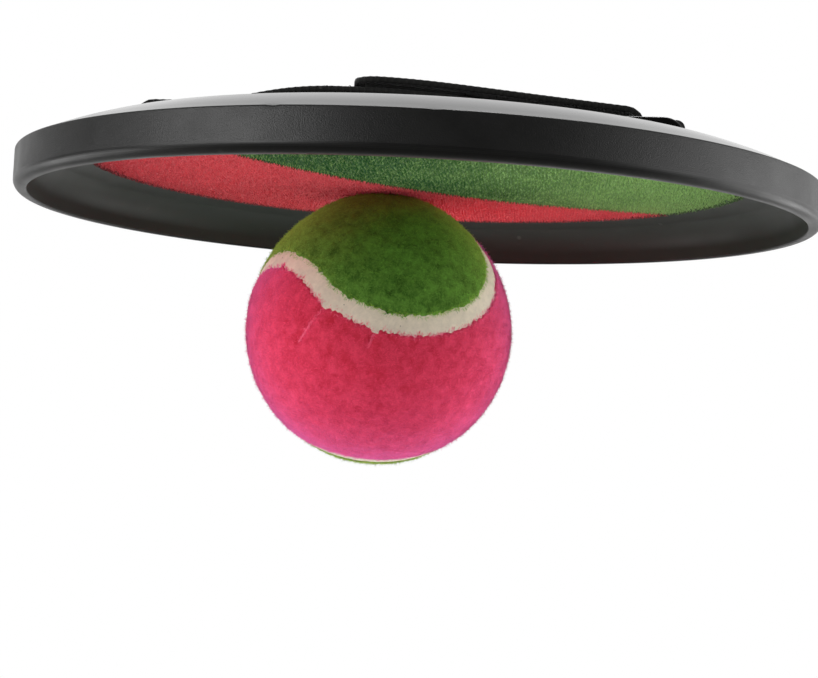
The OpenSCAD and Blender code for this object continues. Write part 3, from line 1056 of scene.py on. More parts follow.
def arc(centre, radius, start, stop, steps):
    """Points of an arc, between two angles."""
    angles = [start + (stop - start) * step / steps for step in range(steps + 1)]
    return [centre + radius * Vector((math.cos(angle), math.sin(angle))) for angle in angles]


def shifted(path, distance):
    """A path moved sideways, to the left of its direction."""
    moved = []
    for index, point in enumerate(path):
        way = (path[min(index + 1, len(path) - 1)] - path[max(index - 1, 0)]).normalized()
        moved.append(point + distance * Vector((-way.y, way.x)))
    return moved


def even(path, step):
    """A path in millimetres as points in metres, a step apart."""
    path = [p * MM for p in path]
    points, left = [path[0]], step
    for a, b in zip(path, path[1:]):
        way = b - a
        gone = left
        while gone <= way.length:
            points.append(a + way * (gone / way.length))
            gone += step
        left = gone - way.length
    if (points[-1] - path[-1]).length > step / 2:
        points.append(path[-1])
    return points


def strap_paths():
    """Middle lines of the strap's band, its stuck stretch, and its turn with the tail."""
    rise = bezier(LOOP_TOP, LOOP_TOP + Vector((8, 0.6)), PEAK - Vector((16, -0.6)), PEAK, steps=40)
    third = (PART.x - PEAK.x) / 3
    stuck = bezier(PEAK, PEAK + Vector((third, 0)), PART - third * PART_FALL, PART, steps=30)
    fold_low = FOLD_CENTRE - Vector((0, FOLD_RADIUS))
    fall = bezier(PART, PART + 10 * PART_FALL, fold_low - Vector((12, 0)), fold_low, steps=40)
    under = [p for p in shifted(rise, -SEWN_DROP) if SEWN_START < p.x < SEWN_END]
    way = (under[0] - under[1]).normalized()
    drop = bezier(under[0], under[0] + 4 * way, LOOP_LOW + Vector((5, 0)), LOOP_LOW, steps=24)
    loop = arc(LOOP_CENTRE, LOOP_RADIUS, math.radians(270), math.radians(90), steps=30)
    band = under[::-1] + drop[1:] + loop + rise + stuck[1:] + fall[1:]
    fold = arc(FOLD_CENTRE, FOLD_RADIUS, math.radians(-90), TAIL_ANGLE, steps=30)
    over = shifted(stuck, TAIL_RISE)
    tail_way = Vector((-math.sin(TAIL_ANGLE), math.cos(TAIL_ANGLE)))
    free = bezier(over[-1], over[-1] + 12 * PART_FALL, fold[-1] + 12 * tail_way, fold[-1],
                  steps=40)
    tail = fold + free[::-1][1:] + over[::-1][1:]
    loop_run = [p for p in rise if p.x > LOOP_TAPE_START] + stuck[1:]
    return {"band": band, "rise": rise, "stuck": stuck, "tail": tail, "over": over,
            "loop run": loop_run}


def new_strip(name, path, width, thickness, pitch, height, material, end_round=0.0):
    """A woven strip: a row of vertices extruded along its middle line, made thick and woven."""
    bm = bmesh.new()
    across, along = (bm.verts.layers.float.new(label) for label in ("across", "along"))
    strip = bm.loops.layers.uv.new("strip")
    columns = max(2, round(width / pitch))
    points = even(path, pitch)
    row = [bm.verts.new((points[0].x, width * (i / columns - 0.5), points[0].y))
           for i in range(columns + 1)]
    for index, vert in enumerate(row):
        vert[across] = index
    edges = chain(bm, row)
    total = (len(points) - 1) * pitch
    for step, (a, b) in enumerate(zip(points, points[1:]), 1):
        edges, verts = grow_edges(bm, edges)
        bmesh.ops.translate(bm, verts=verts, vec=(b.x - a.x, 0, b.y - a.y))
        left = total - step * pitch
        half = width / 2
        if left < end_round:
            half -= end_round - math.sqrt(max(0, end_round ** 2 - (end_round - left) ** 2))
        for vert in verts:
            vert[along] = step
            vert.co.y = half * (2 * vert[across] / columns - 1)
    for face in bm.faces:
        for loop in face.loops:
            loop[strip].uv = (loop.vert[across] * pitch / MM, loop.vert[along] * pitch / MM)
    bmesh.ops.recalc_face_normals(bm, faces=bm.faces)
    piece = thicken(new_piece(name, bm, material), thickness - 2 * height, offset=0)
    weave(piece, height)
    return piece


def weave(piece, height):
    """Moves crossings of a strip's yarns out and in by turns."""
    bm = bmesh.new()
    bm.from_mesh(piece.data)
    across, along = (bm.verts.layers.float[label] for label in ("across", "along"))
    bm.normal_update()
    for vert, normal in [(vert, vert.normal.copy()) for vert in bm.verts]:
        vert.co += normal * (height if round(vert[across] + vert[along]) % 2 else -height)
    bm.to_mesh(piece.data)
    bm.free()
    for label in ("across", "along"):
        piece.data.attributes.remove(piece.data.attributes[label])


def stitch_at(x, y, z, *euler):
    """Spot of one stitch."""
    return (x, y, z), euler, (1, 1, 1), 0.5


def stitch_line(path, y, lift, first, last, s):
    """Spots of stitches along a path, at y from its middle, between two places in x."""
    line = [p for p in even(shifted(path, lift), s.stitch_pitch) if first <= p.x / MM <= last]
    spots = []
    for a, b in zip(line, line[1:]):
        middle = (a + b) / 2
        slope = -math.atan2(b.y - a.y, b.x - a.x)
        spots.append(stitch_at(middle.x, y * MM, middle.y, 0, slope, 0))
    return spots


def stitch_row(path, x, lift, y_first, y_last, s):
    """Spots of stitches across a path at one place in x."""
    place = min(shifted(path, lift), key=lambda p: abs(p.x - x)) * MM
    count = max(1, round((y_last - y_first) * MM / s.stitch_pitch))
    across = [y_first + (y_last - y_first) * (i + 0.5) / count for i in range(count)]
    return [stitch_at(place.x, y * MM, place.y, 0, 0, math.pi / 2) for y in across]


def stitch_cross(path, corners, lift, s):
    """Spots of stitches from corner to corner of a sewn box."""
    spots = []
    line = shifted(path, lift)
    (left, low), (right, high) = corners
    for (x0, y0), (x1, y1) in (corners, ((left, high), (right, low))):
        count = round(math.hypot(x1 - x0, y1 - y0) * MM / s.stitch_pitch)
        for i in range(count):
            share = (i + 0.5) / count
            x, y = x0 + (x1 - x0) * share, y0 + (y1 - y0) * share
            height = min(line, key=lambda p: abs(p.x - x)).y
            turned = math.atan2(y1 - y0, x1 - x0)
            spots.append(stitch_at(x * MM, y * MM, height * MM, 0, 0, turned))
    return spots


def new_stitch(s):
    """One stitch: a flattened bead of thread along X."""
    bm = bmesh.new()
    lying = Matrix.Diagonal((*s.stitch_size, 1)) @ Matrix.Rotation(math.pi / 2, 4, "Y")
    bmesh.ops.create_uvsphere(bm, u_segments=8, v_segments=5, radius=1, matrix=lying)
    return new_piece("stitch", bm, bpy.data.materials["thread"])


def new_loop(material, width, height, thick):
    """One loop of the loop tape: a thin half ring that stands on Z."""
    bm = bmesh.new()
    bmesh.ops.create_circle(bm, cap_ends=True, segments=3, radius=thick,
                            matrix=Matrix.Translation((width / 2, 0, 0)))
    tip = bm.faces[:]
    for _ in range(4):
        tip, verts = grow_faces(bm, tip)
        bmesh.ops.rotate(bm, verts=verts, cent=(0, 0, 0),
                         matrix=Matrix.Rotation(-math.pi / 4, 3, "Y"))
    bmesh.ops.scale(bm, verts=bm.verts, vec=(1, 1, 2 * height / width))
    bmesh.ops.recalc_face_normals(bm, faces=bm.faces)
    return new_piece("loop", bm, material)


def tape_spots(path, lift, half, pitch, below, seed):
    """Spots of the tapes' hooks or loops over a stretch of a path."""
    draw = random.Random(seed)
    spots = []
    line = even(shifted(path, lift), pitch)
    count = int(half / pitch)
    for index, (a, b) in enumerate(zip(line, line[1:])):
        odd = index % 2
        slope = -math.atan2(b.y - a.y, b.x - a.x)
        for j in range(-count, count + 1):
            y = (j + 0.5 * odd) * pitch + draw.uniform(-PILE_JITTER, PILE_JITTER) * pitch
            place = a.lerp(b, draw.random() * PILE_SLIDE)
            if abs(y) < half:
                yaw = draw.uniform(-PILE_YAW, PILE_YAW) + math.pi * odd
                euler = (math.pi if below else 0, slope, yaw)
                size = draw.uniform(*PILE_SIZES)
                spots.append(((place.x, y, place.y), euler, (size,) * 3, draw.random()))
    return spots


def build_webbing(s, paths):
    """The band on the paddle, and the tail, which bends round the bar as it peels."""
    webbing = woven("webbing", s.webbing, pitch=0.8, depth=0.12 * MM)
    band = new_strip("strap_webbing", paths["band"], s.width, s.thickness, s.yarn,
                     s.yarn_height, webbing)
    seat(band, "paddle", "webbing", "strap_band")
    tail = new_strip("tail_webbing", paths["tail"], s.width, s.thickness, s.yarn,
                     s.yarn_height, webbing, s.end_round)
    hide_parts("strap_tail")
    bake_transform(tail, "paddle", "tail", start=(49.5 * MM, 0, 8.5 * MM), end=(44 * MM, 0, 11.5 * MM))


def build_tapes(s, paths):
    """The loop tape on the band and the hook tape under the tail, with their pile."""
    cloth = woven("tape_cloth", s.tape, pitch=0.5, depth=0.06 * MM)
    loop_run, stuck = paths["loop run"], paths["stuck"]
    tapes = (("loop_tape", loop_run, LOOP_TAPE_RISE, "paddle", "loop_patch"),
             ("hook_tape", stuck[4:], HOOK_TAPE_RISE, "tail", "hook_patch"))
    for name, path, rise, body, node in tapes:
        tape = new_strip(name, shifted(path, rise), s.tape_width, s.tape_thickness, s.yarn,
                         TAPE_YARN, cloth)
        seat(tape, body, name, node)
    half = s.tape_width / 2 - MM
    loops = tape_spots(loop_run, LOOPS_RISE, half, pitch=0.85 * MM, below=False, seed=3)
    loop = new_loop(yarn("loop_yarn", s.tape), width=0.7 * MM, height=0.45 * MM, thick=0.07 * MM)
    seat(scatter("tape_loops", loop, loops), "paddle", "loop_tape")
    hooks = tape_spots(stuck[5:], HOOKS_RISE, half, pitch=1.1 * MM, below=True, seed=5)
    hook = new_hook("tape_hook", yarn("hook_yarn", s.tape), height=0.35 * MM, reach=0.22 * MM,
                    root=0.1 * MM)
    seat(scatter("tape_hooks", hook, hooks), "tail", "hook_tape")


def build_stitches(s, paths):
    """Thread of the sewn overlap, of the loop tape and of the tail."""
    yarn("thread", s.thread)
    rise, loop_run, over = paths["rise"], paths["loop run"], paths["over"]
    edge = s.tape_width / 2 / MM - STITCH_MARGIN
    top = s.thickness / MM / 2 + STITCH_LIFT
    sewn = stitch_cross(rise, ((SEWN_BOX[0], -edge), (SEWN_BOX[1], edge)), top, s)
    for y in (-edge, edge):
        sewn += stitch_line(rise, y, top, *SEWN_LINES, s)
        sewn += stitch_line(loop_run, y, TAPE_STITCH_RISE, *TAPE_LINES, s)
    for x in SEWN_ROWS:
        sewn += stitch_row(rise, x, top, -edge, edge, s)
    sewn += stitch_row(loop_run, TAPE_ROW, TAPE_STITCH_RISE, -edge, edge, s)
    seat(scatter("band_stitches", new_stitch(s), sewn), "paddle", "webbing")
    sewn = []
    for y in (-edge, edge):
        sewn += stitch_line(over, y, top, *TAIL_LINES, s)
    for x in TAIL_ROWS:
        sewn += stitch_row(over, x, top, -edge, edge, s)
    seat(scatter("tail_stitches", new_stitch(s), sewn), "tail", "webbing")


class PADDLE_OT_strap(bpy.types.Operator):
    """Build the webbing, its tapes and its stitching"""

    bl_idname = "paddle.strap"
    bl_label = "Strap"

    def execute(self, context):
        s = context.scene.paddle_strap
        paths = strap_paths()
        build_webbing(s, paths)
        build_tapes(s, paths)
        build_stitches(s, paths)
        return {"FINISHED"}


# Ball

# Rows of the mesh along a panel's edge, and how the edge rolls down and frays, in millimetres
EDGE_ROWS = (0.0, 0.9, 1.5, 2.3)
EDGE_DROP = 0.4
EDGE_REACH = 0.9
FRAY_REACH = 2.2
# Darts where the pink felt was gathered, and its pointed corner, as directions on the ball
DARTS = ((Vector((0.644, 0.74, 0.196)), Vector((0.345, 0.925, 0.16))),
         (Vector((0.587, 0.58, 0.565)), Vector((0.483, 0.647, 0.591))))
DART_DEPTH = 0.5 * MM
DART_WIDTH = 0.8 * MM
TIP = Vector((0.609, 0.704, -0.365))
TIP_REACH = 1.2
TIP_WIDTH = 2.2 * MM
# The cloth lies a little below the tips of its nap, and is uneven: heights and how often
CLOTH_DROP = 0.25 * MM
LUMPS = ((0.12 * MM, 9), (0.06 * MM, 40))
# Its edge wanders: millimetres and how often, and the limits of both together
WANDERS = ((0.6, 9), (0.9, 33))
WANDER_LIMITS = (-0.5, 0.75)
# The felt is drawn out above this share of the way up, and reaches a little into the hooks
CROWN_LIMIT = 0.2
CROWN_REACH = 0.05 * MM
WELD = 0.02 * MM
# The seam runs on under the panels
SEAM_LAP = 1.1 * MM
SEAM_THICKNESS = 0.9 * MM


def ball_turn(s):
    """Rotation of the ball."""
    return Euler(s.attitude).to_matrix()


def ball_place(s):
    """Place and rotation of the ball."""
    return Matrix.Translation(s.centre) @ ball_turn(s).to_4x4()


def lobes(s, side):
    """Axes of the two lobes on one side of the ball's own XY plane."""
    flat, rise = math.cos(s.seam_tilt), side * math.sin(s.seam_tilt)
    if side > 0:
        return [Vector((way * flat, 0, rise)) for way in (-1, 1)]
    return [Vector((0, way * flat, rise)) for way in (-1, 1)]


def lobe_angle(s, shift):
    """Angle from a lobe's axis to a line that is shifted from the seam's middle."""
    return math.acos(math.cos(s.seam_tilt) * math.cos(math.pi / 4 + shift / s.radius))


def inset(s, way, panel):
    """How far a direction lies inside a panel's edge, along the ball. It is negative outside."""
    half = s.seam_width / 2
    if way.z * panel >= 0:
        return s.radius * max(lobe_angle(s, -half) - way.angle(axis) for axis in lobes(s, panel))
    return s.radius * min(way.angle(axis) - lobe_angle(s, half) for axis in lobes(s, -panel))


def ball_mesh(s, radius):
    """A round mesh of even faces, cut along the ball's own XY plane."""
    bm = bmesh.new()
    bmesh.ops.create_cube(bm, size=2 * radius)
    bmesh.ops.subdivide_edges(bm, edges=bm.edges[:], cuts=s.cuts, use_grid_fill=True)
    for vert in bm.verts:
        x, y, z = (math.tan(math.pi / 4 * c / radius) for c in vert.co)
        vert.co = radius * Vector((x, y, z)).normalized()
    bmesh.ops.bisect_plane(bm, geom=everything(bm), dist=1e-7, plane_co=(0, 0, 0), plane_no=UP)
    return bm


def cut_arcs(bm, s, radius, side, angle):
    """Cuts the mesh along the two arcs at that angle from the lobes of one side."""
    for axis in lobes(s, side):
        faces = [f for f in bm.faces if f.calc_center_median().z * side > 0]
        edges = {e for f in faces for e in f.edges}
        verts = {v for f in faces for v in f.verts}
        bmesh.ops.bisect_plane(bm, geom=faces + list(edges) + list(verts), dist=1e-7,
                               plane_co=axis * radius * math.cos(angle), plane_no=axis)


def keep_faces(bm, wanted):
    """Deletes the faces that aren't wanted, by the direction of their middle."""
    rest = [f for f in bm.faces if not wanted(f.calc_center_median().normalized())]
    bmesh.ops.delete(bm, geom=rest, context="FACES")
    bmesh.ops.remove_doubles(bm, verts=bm.verts, dist=WELD)


def dart_distance(s, way):
    """Distance along the ball from the nearest dart."""
    nearest = 1.0
    for start, end in DARTS:
        line = end - start
        share = clamped((way - start).dot(line) / line.length_squared)
        nearest = min(nearest, (start + share * line - way).length)
    return nearest * s.radius


def drawn_out(s, way, radius):
    """A radius near the crown, where the hooks of the face have drawn the felt out."""
    up = (ball_turn(s) @ way).z
    if up < CROWN_LIMIT:
        return radius
    radius += s.crown_rise * math.exp(-(math.acos(min(1, up)) / s.crown_spread) ** 2)
    return min(radius, (s.ceiling + CROWN_REACH - s.centre[2]) / up)


def panel_height(s, inside, way, panel):
    """Radius of a panel's surface: rounded down to the seam at its edge, and a little uneven."""
    lumps = sum(height * noise.noise(way * often) for height, often in LUMPS)
    near = clamped(1 - inside / (EDGE_REACH * MM))
    height = s.radius - CLOTH_DROP + lumps - EDGE_DROP * MM * (1 - math.sqrt(1 - near * near))
    if panel < 0:
        height -= DART_DEPTH * math.exp(-(dart_distance(s, way) / DART_WIDTH) ** 2)
    return drawn_out(s, way, height)


def inwards(s, way, panel):
    """Direction along the ball that leads away from a panel's edge."""
    steps = [1e-3 * Vector(axis) for axis in ((1, 0, 0), (0, 1, 0), (0, 0, 1))]
    slope = Vector([inset(s, (way + step).normalized(), panel)
                    - inset(s, (way - step).normalized(), panel) for step in steps])
    return (slope - way * slope.dot(way)).normalized()


def fray(s, way, inside, panel):
    """Shift near a panel's edge: a slow wander, short teeth and the pink panel's corner."""
    shift = sum(reach * noise.noise(way * often) for reach, often in WANDERS)
    shift = min(WANDER_LIMITS[1], max(WANDER_LIMITS[0], shift))
    if panel < 0:
        shift -= TIP_REACH * max(0, 1 - (way - TIP).length * s.radius / TIP_WIDTH)
    return inwards(s, way, panel) * shift * MM * (1 - inside / (FRAY_REACH * MM))


def build_panel(s, name, panel, material):
    """One felt panel, cut along the seam, with an edge that rolls down and frays."""
    bm = ball_mesh(s, s.radius)
    half = s.seam_width / 2
    for row in EDGE_ROWS:
        cut_arcs(bm, s, s.radius, panel, lobe_angle(s, -half) - row * MM / s.radius)
        cut_arcs(bm, s, s.radius, -panel, lobe_angle(s, half) + row * MM / s.radius)
    keep_faces(bm, lambda way: inset(s, way, panel) >= 0)
    for vert in bm.verts:
        way = vert.co.normalized()
        inside = inset(s, way, panel)
        vert.co = way * panel_height(s, inside, way, panel)
        if inside < FRAY_REACH * MM:
            vert.co += fray(s, way, max(0, inside), panel)
    rim = [(edge.verts[0].co.copy(), edge.verts[1].co.copy())
           for edge in bm.edges if edge.is_boundary]
    bm.transform(ball_place(s))
    return thicken(new_piece(name, bm, material), s.felt - EDGE_DROP * MM), rim


def build_seam(s):
    """The seam: a slightly uneven band a little below the felt."""
    radius = s.radius - s.seam_drop
    bm = ball_mesh(s, radius)
    half = s.seam_width / 2 + SEAM_LAP
    for side in (-1, 1):
        for row in (-half, -half * 0.5, 0, half * 0.5, half):
            cut_arcs(bm, s, radius, side, lobe_angle(s, row))
    low, high = lobe_angle(s, -half), lobe_angle(s, half)
    keep_faces(bm, lambda way: any(low < way.angle(axis) < high
                                   for axis in lobes(s, 1 if way.z > 0 else -1)))
    for vert in bm.verts:
        way = vert.co.normalized()
        vert.co = way * drawn_out(s, way, radius + 0.06 * MM * noise.noise(way * 45))
    bm.transform(ball_place(s))
    piece = new_piece("seam_band", bm, bpy.data.materials["seam_cement"])
    seat(thicken(piece, SEAM_THICKNESS), "ball", "seam_rubber", "ball_seam")


def new_fibre(s, material):
    """One fibre: a thin spike along Z."""
    bm = bmesh.new()
    bmesh.ops.create_cone(bm, cap_ends=True, segments=3, radius1=s.fibre_radius, radius2=0,
                          depth=s.fibre_length,
                          matrix=Matrix.Translation((0, 0, s.fibre_length / 2)))
    return new_piece("fibre", bm, material)


def stray(draw, deviation):
    """A random vector."""
    return Vector([draw.gauss(0, deviation) for _ in range(3)])


def pointing(s, way):
    """Euler turn of a fibre that points along a direction of the ball."""
    return UP.rotation_difference(ball_turn(s) @ way.normalized()).to_euler()


def on_ball(s, place):
    """Place in the frame of a place on the ball."""
    return Vector(s.centre) + ball_turn(s) @ place


# Nap: how far its whirls and strays lean, how upright it stands, and how deep it is rooted
NAP_COMB, NAP_STRAY = 0.9, 0.6
# Seed of the whirls, which would follow the clock without one
WHIRL_SEED = 1
NAP_UPRIGHT = (0.12, 0.5)
NAP_LENGTHS = (0.45, 1.1)
NAP_ROOT = 0.12 * MM
# Its fibres are frayed near the seam and near the darts
FRAYED_EDGE = 0.9 * MM
FRAYED_EDGE_TINTS = (0.1, 0.7)
FRAYED_DART = 0.45 * MM
FRAYED_DART_TINTS = (0.4, 0.9)
# Loose fibres on the darts: how many to a millimetre, their spread, their stray and their lift
DART_FIBRES = 10
DART_SPREAD, DART_STRAY = 0.004, 0.2
DART_LIFT = 0.15 * MM


def nap_spots(s, panel, seed):
    """Spots of a panel's fibres, which lean in slow whirls and hang a little over the seam."""
    draw = random.Random(seed)
    spots = []
    while len(spots) < s.fibres:
        way = stray(draw, 1).normalized()
        inside = inset(s, way, panel)
        if inside < 0.05 * MM:
            continue
        lean = noise.noise_vector(way * 7) * NAP_COMB + stray(draw, 1) * NAP_STRAY
        lean -= way * lean.dot(way)
        tint = clamped(0.5 + 0.7 * noise.noise(way * 36) + draw.uniform(-0.6, 0.6))
        if inside < FRAYED_EDGE:
            tint = 1 + draw.uniform(*FRAYED_EDGE_TINTS)
        elif panel < 0 and dart_distance(s, way) < FRAYED_DART:
            tint = 1 + draw.uniform(*FRAYED_DART_TINTS)
        euler = pointing(s, way * draw.uniform(*NAP_UPRIGHT) + lean)
        place = on_ball(s, way * (panel_height(s, inside, way, panel) - NAP_ROOT))
        spots.append((place, euler, (1, 1, draw.uniform(*NAP_LENGTHS)), tint))
    return spots


def dart_spots(s, seed):
    """Spots of pale loose fibres that lie along the darts."""
    draw = random.Random(seed)
    spots = []
    for start, end in DARTS:
        line = end - start
        for _ in range(round(line.length * s.radius / MM * DART_FIBRES)):
            way = (start.lerp(end, draw.random()) + stray(draw, DART_SPREAD)).normalized()
            euler = pointing(s, line.normalized() + stray(draw, DART_STRAY))
            height = panel_height(s, inset(s, way, -1), way, -1) + DART_LIFT
            size = (1.2, 1.2, draw.uniform(0.5, 1))
            spots.append((on_ball(s, way * height), euler, size, draw.uniform(1, 1.5)))
    return spots


def fringe_spots(s, panel, rim, seed):
    """Spots of loose fibres that lie out over the seam along a panel's edge."""
    draw = random.Random(seed)
    spots = []
    for a, b in rim:
        along = (b - a).normalized()
        out = -inwards(s, ((a + b) / 2).normalized(), panel)
        for _ in range(s.fringe):
            root = a.lerp(b, draw.random())
            way = root.normalized()
            lie = out * draw.uniform(0.5, 1) + along * draw.gauss(0, 0.6)
            lie += way * draw.uniform(-0.1, 0.35)
            root = root - out * draw.uniform(0.1, 0.6) * MM + way * draw.uniform(-0.1, 0.1) * MM
            size = (1.5, 1.5, draw.uniform(0.5, 1.1))
            spots.append((on_ball(s, root), pointing(s, lie), size, draw.uniform(0.3, 1.7)))
    return spots


def soften(s, piece):
    """Shades the fibres of a nap like the round felt that they lie on."""
    centre = Vector(s.centre)
    normals = [(vert.co - centre).normalized() for vert in piece.data.vertices]
    piece.data.normals_split_custom_set_from_vertices(normals)


class PADDLE_OT_ball(bpy.types.Operator):
    """Build the felt ball with its panels, its nap and its seam"""

    bl_idname = "paddle.ball"
    bl_label = "Ball"

    def execute(self, context):
        s = context.scene.paddle_ball
        noise.seed_set(WHIRL_SEED)
        cement("seam_cement", s.seam)
        build_seam(s)
        panels = (("pink", -1, (s.pink, s.pink_dark, s.pink_fray, s.pink_sheen), 11),
                  ("green", 1, (s.green, s.green_dark, s.green_fray, s.green_sheen), 12))
        for name, side, colours, seed in panels:
            cloth = felt(f"{name}_felt", *colours)
            panel, rim = build_panel(s, f"{name}_panel", side, cloth)
            seat(panel, "ball", f"felt_{name}", f"felt_{name}")
            spots = nap_spots(s, side, seed) + fringe_spots(s, side, rim, seed)
            if side < 0:
                spots += dart_spots(s, seed)
            nap = scatter(f"{name}_nap", new_fibre(s, cloth), spots)
            seat(nap, "ball", f"felt_{name}")
            nap.visible_shadow = False
            soften(s, nap)
        return {"FINISHED"}


class PADDLE_OT_hidden(bpy.types.Operator):
    """Finish the bonding sheet and the ball's core, which stay as they are packed"""

    bl_idname = "paddle.hidden"
    bl_label = "Hidden pieces"

    def execute(self, context):
        sheet = plain_solid("bonding_sheet", linear(206, 200, 182), rough=0.5)
        core = plain_solid("core_rubber", linear(66, 63, 60), rough=0.75)
        for node, material in (("face_adhesive", sheet), ("ball_core_upper", core),
                               ("ball_core_lower", core)):
            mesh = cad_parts[node].data
            mesh.materials.clear()
            mesh.materials.append(material)
        return {"FINISHED"}


# Stage

# Room light near the horizon, above it and overhead: degrees from the front to the right, level
RINGS = (((-180, 1.1), (-145, 1.2), (-110, 0.15), (-85, 0.03), (-50, 0.17), (-25, 0.15),
          (0, 0.01), (40, 0.03), (60, 0.24), (85, 0.9), (115, 0.9), (150, 1.3), (180, 1.1)),
         ((-180, 1.0), (-150, 1.4), (-110, 0.8), (-60, 0.3), (0, 0.05), (60, 0.3), (110, 0.8),
          (150, 1.4), (180, 1.0)),
         ((-180, 0.3), (-120, 0.4), (-60, 0.3), (0, 0.08), (60, 0.4), (120, 0.5), (180, 0.3)))
# Lamps: place, size in metres and watts
LAMPS = (("left lamp", (-0.49, -0.57, 0.07), (0.5, 0.4), 2.8),
         ("right lamp", (0.81, 0.07, -0.06), (0.9, 0.5), 2.6),
         ("low left lamp", (-0.6, 0.02, -0.27), (0.5, 0.3), 2.3),
         ("low right lamp", (0.51, 0.3, -0.27), (0.5, 0.3), 2.1),
         ("floor lamp", (0.0, 1.3, 1.8), (1.2, 1.2), 7.0))
OBJECT_AIM = (0, 0.01, -0.025)
AIMS = {"floor lamp": (0.0, 0.8, -0.35)}
FLOOR_LAMP_SPREAD = math.radians(40)
FLOOR_COLOUR = (0.6, 0.6, 0.59, 1)
# The floor turns white between these distances, and glossy rays see white past these places in y
FLOOR_FADE, FLOOR_BEHIND = (0.24, 0.5), (0.5, 1.5)
# Directions in z where one ring passes into the next, and in y where glossy rays see white
RING_BLENDS = ((0.1, 0.32), (0.43, 0.5))
ROOM_BEHIND = (0.4, 0.7)


def build_camera(s):
    """Camera at the photograph's place."""
    lens = bpy.data.cameras.new("camera")
    lens.sensor_width = 36
    lens.lens = lens.sensor_width * s.focal_pixels / PICTURE_WIDTH
    lens.clip_start, lens.clip_end = 0.01, 20
    camera = link("camera", lens)
    back = -Vector(s.forward).normalized()
    right = Vector(s.upward).cross(back).normalized()
    turned = Matrix((right, back.cross(right), back)).transposed().to_4x4()
    camera.matrix_world = Matrix.Translation(s.eye) @ turned
    bpy.context.scene.camera = camera


def backdrop_rays(tree, behind):
    """Rays that see white: from the camera and through glass, and glossy ones to the back."""
    rays = tree.nodes.new("ShaderNodeLightPath").outputs
    straight = calc(tree, "MAXIMUM", rays["Is Camera Ray"], rays["Is Transmission Ray"])
    return calc(tree, "MAXIMUM", straight, times(tree, rays["Is Glossy Ray"], behind))


def mix_shaders(tree, share, first, second):
    """The mix of two shaders' outputs."""
    return add(tree, "ShaderNodeMixShader", {0: share, 1: first, 2: second}).outputs[0]


def build_floor(s):
    """A pale floor with the shadow near the object, white to the camera further out."""
    bm = bmesh.new()
    bmesh.ops.create_grid(bm, x_segments=8, y_segments=8, size=s.floor_reach,
                          matrix=Matrix.Translation((0, 0, s.floor_height)))
    made, tree, shader, where = new_material("floor", Base_Color=FLOOR_COLOUR, Roughness=0.9,
                                             Specular_IOR_Level=0.1)
    away = spread(tree, vector_calc(tree, "LENGTH", where)["Value"], *FLOOR_FADE)
    behind = spread(tree, axes(tree, where)[1], *FLOOR_BEHIND)
    white = add(tree, "ShaderNodeEmission", {"Color": WHITE, "Strength": 1.0}).outputs[0]
    seen = times(tree, backdrop_rays(tree, behind), away)
    both = mix_shaders(tree, seen, shader.outputs[0], white)
    below = tree.nodes.new("ShaderNodeNewGeometry").outputs["Backfacing"]
    clear = tree.nodes.new("ShaderNodeBsdfTransparent").outputs[0]
    feed(tree, tree.nodes["Material Output"], Surface=mix_shaders(tree, below, both, clear))
    new_piece("floor", bm, made)


def ring_of_light(tree, share, stops):
    """Light by direction round the object."""
    ramp = tree.nodes.new("ShaderNodeValToRGB")
    tree.links.new(share, ramp.inputs[0])
    points = ramp.color_ramp.elements
    while len(points) < len(stops):
        points.new(0.5)
    for point, (degrees, level) in zip(points, stops):
        point.position = degrees / 360 + 0.5
        point.color = (level, level, level, 1)
    return ramp.outputs[0]


def build_world():
    """Soft room light: bright behind and at the sides, dim in front, white to the camera."""
    world = bpy.data.worlds.new("room")
    world.use_nodes = True
    bpy.context.scene.world = world
    tree = world.node_tree
    tree.nodes.clear()
    way = axes(tree, tree.nodes.new("ShaderNodeTexCoord").outputs["Generated"])
    angle = calc(tree, "ARCTAN2", way[0], times(tree, way[1], -1.0))
    share = calc(tree, "ADD", calc(tree, "DIVIDE", angle, math.tau), 0.5)
    low, middle, high = (ring_of_light(tree, share, ring) for ring in RINGS)
    light = mix(tree, spread(tree, way[2], *RING_BLENDS[0]), low, middle)
    light = mix(tree, spread(tree, way[2], *RING_BLENDS[1]), light, high)
    seen = backdrop_rays(tree, spread(tree, way[1], *ROOM_BEHIND))
    room, white = (add(tree, "ShaderNodeBackground", {"Color": shade, "Strength": 1.0}).outputs[0]
                   for shade in (light, WHITE))
    feed(tree, add(tree, "ShaderNodeOutputWorld"), Surface=mix_shaders(tree, seen, room, white))


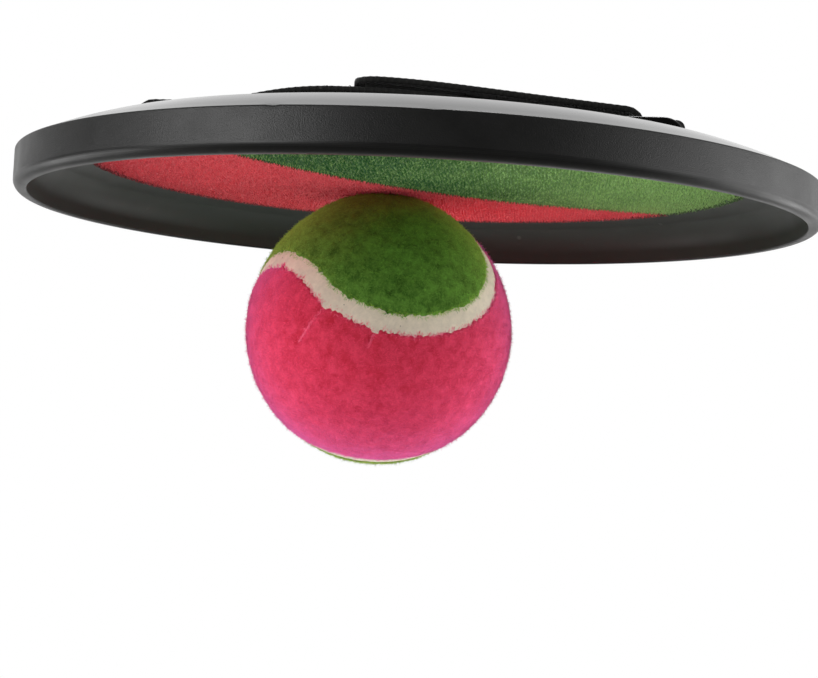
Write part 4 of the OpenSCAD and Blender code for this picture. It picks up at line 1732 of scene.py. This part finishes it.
def build_lamps():
    """Soft lamps at both sides, level and low, and one above that lights the floor."""
    for name, place, size, power in LAMPS:
        light = bpy.data.lights.new(name, "AREA")
        light.shape = "RECTANGLE"
        light.size, light.size_y = size
        light.energy = power
        if name in AIMS:
            light.spread = FLOOR_LAMP_SPREAD
        lamp = link(name, light)
        lamp.location = place
        beam = Vector(AIMS.get(name, OBJECT_AIM)) - Vector(place)
        lamp.rotation_euler = beam.to_track_quat("-Z", "Y").to_euler()


class PADDLE_OT_stage(bpy.types.Operator):
    """Set up the camera, the floor and the light"""

    bl_idname = "paddle.stage"
    bl_label = "Stage"

    def execute(self, context):
        s = context.scene.paddle_stage
        context.scene.view_settings.view_transform = "Standard"
        build_camera(s)
        build_floor(s)
        build_world()
        build_lamps()
        return {"FINISHED"}


OPERATORS = (PADDLE_OT_dish, PADDLE_OT_face, PADDLE_OT_strap, PADDLE_OT_ball, PADDLE_OT_hidden,
             PADDLE_OT_stage)
SETTINGS = {"paddle_dish": DishSettings, "paddle_face": FaceSettings,
            "paddle_strap": StrapSettings, "paddle_ball": BallSettings,
            "paddle_stage": StageSettings}


class PADDLE_PT_pieces(bpy.types.Panel):
    """Lists the pieces of the paddle"""

    bl_label = "Catch Paddle"
    bl_idname = "PADDLE_PT_pieces"
    bl_space_type = "VIEW_3D"
    bl_region_type = "UI"
    bl_category = "Paddle"

    def draw(self, context):
        for operator in OPERATORS:
            self.layout.operator(operator.bl_idname)
        for name, group in SETTINGS.items():
            box = self.layout.box()
            for label in group.__annotations__:
                box.prop(getattr(context.scene, name), label)


def register():
    """Registers the settings, the operators and the panel."""
    for group in SETTINGS.values():
        bpy.utils.register_class(group)
    for name, group in SETTINGS.items():
        setattr(bpy.types.Scene, name, PointerProperty(type=group))
    for operator in (*OPERATORS, PADDLE_PT_pieces):
        bpy.utils.register_class(operator)


def unregister():
    """Takes back what register added."""
    for operator in reversed((*OPERATORS, PADDLE_PT_pieces)):
        bpy.utils.unregister_class(operator)
    for name, group in SETTINGS.items():
        delattr(bpy.types.Scene, name)
        bpy.utils.unregister_class(group)


def main():
    """Builds everything."""
    register()
    bpy.ops.paddle.dish()
    bpy.ops.paddle.face()
    bpy.ops.paddle.strap()
    bpy.ops.paddle.ball()
    bpy.ops.paddle.hidden()
    bpy.ops.paddle.stage()


if __name__ == "__main__":
    main()
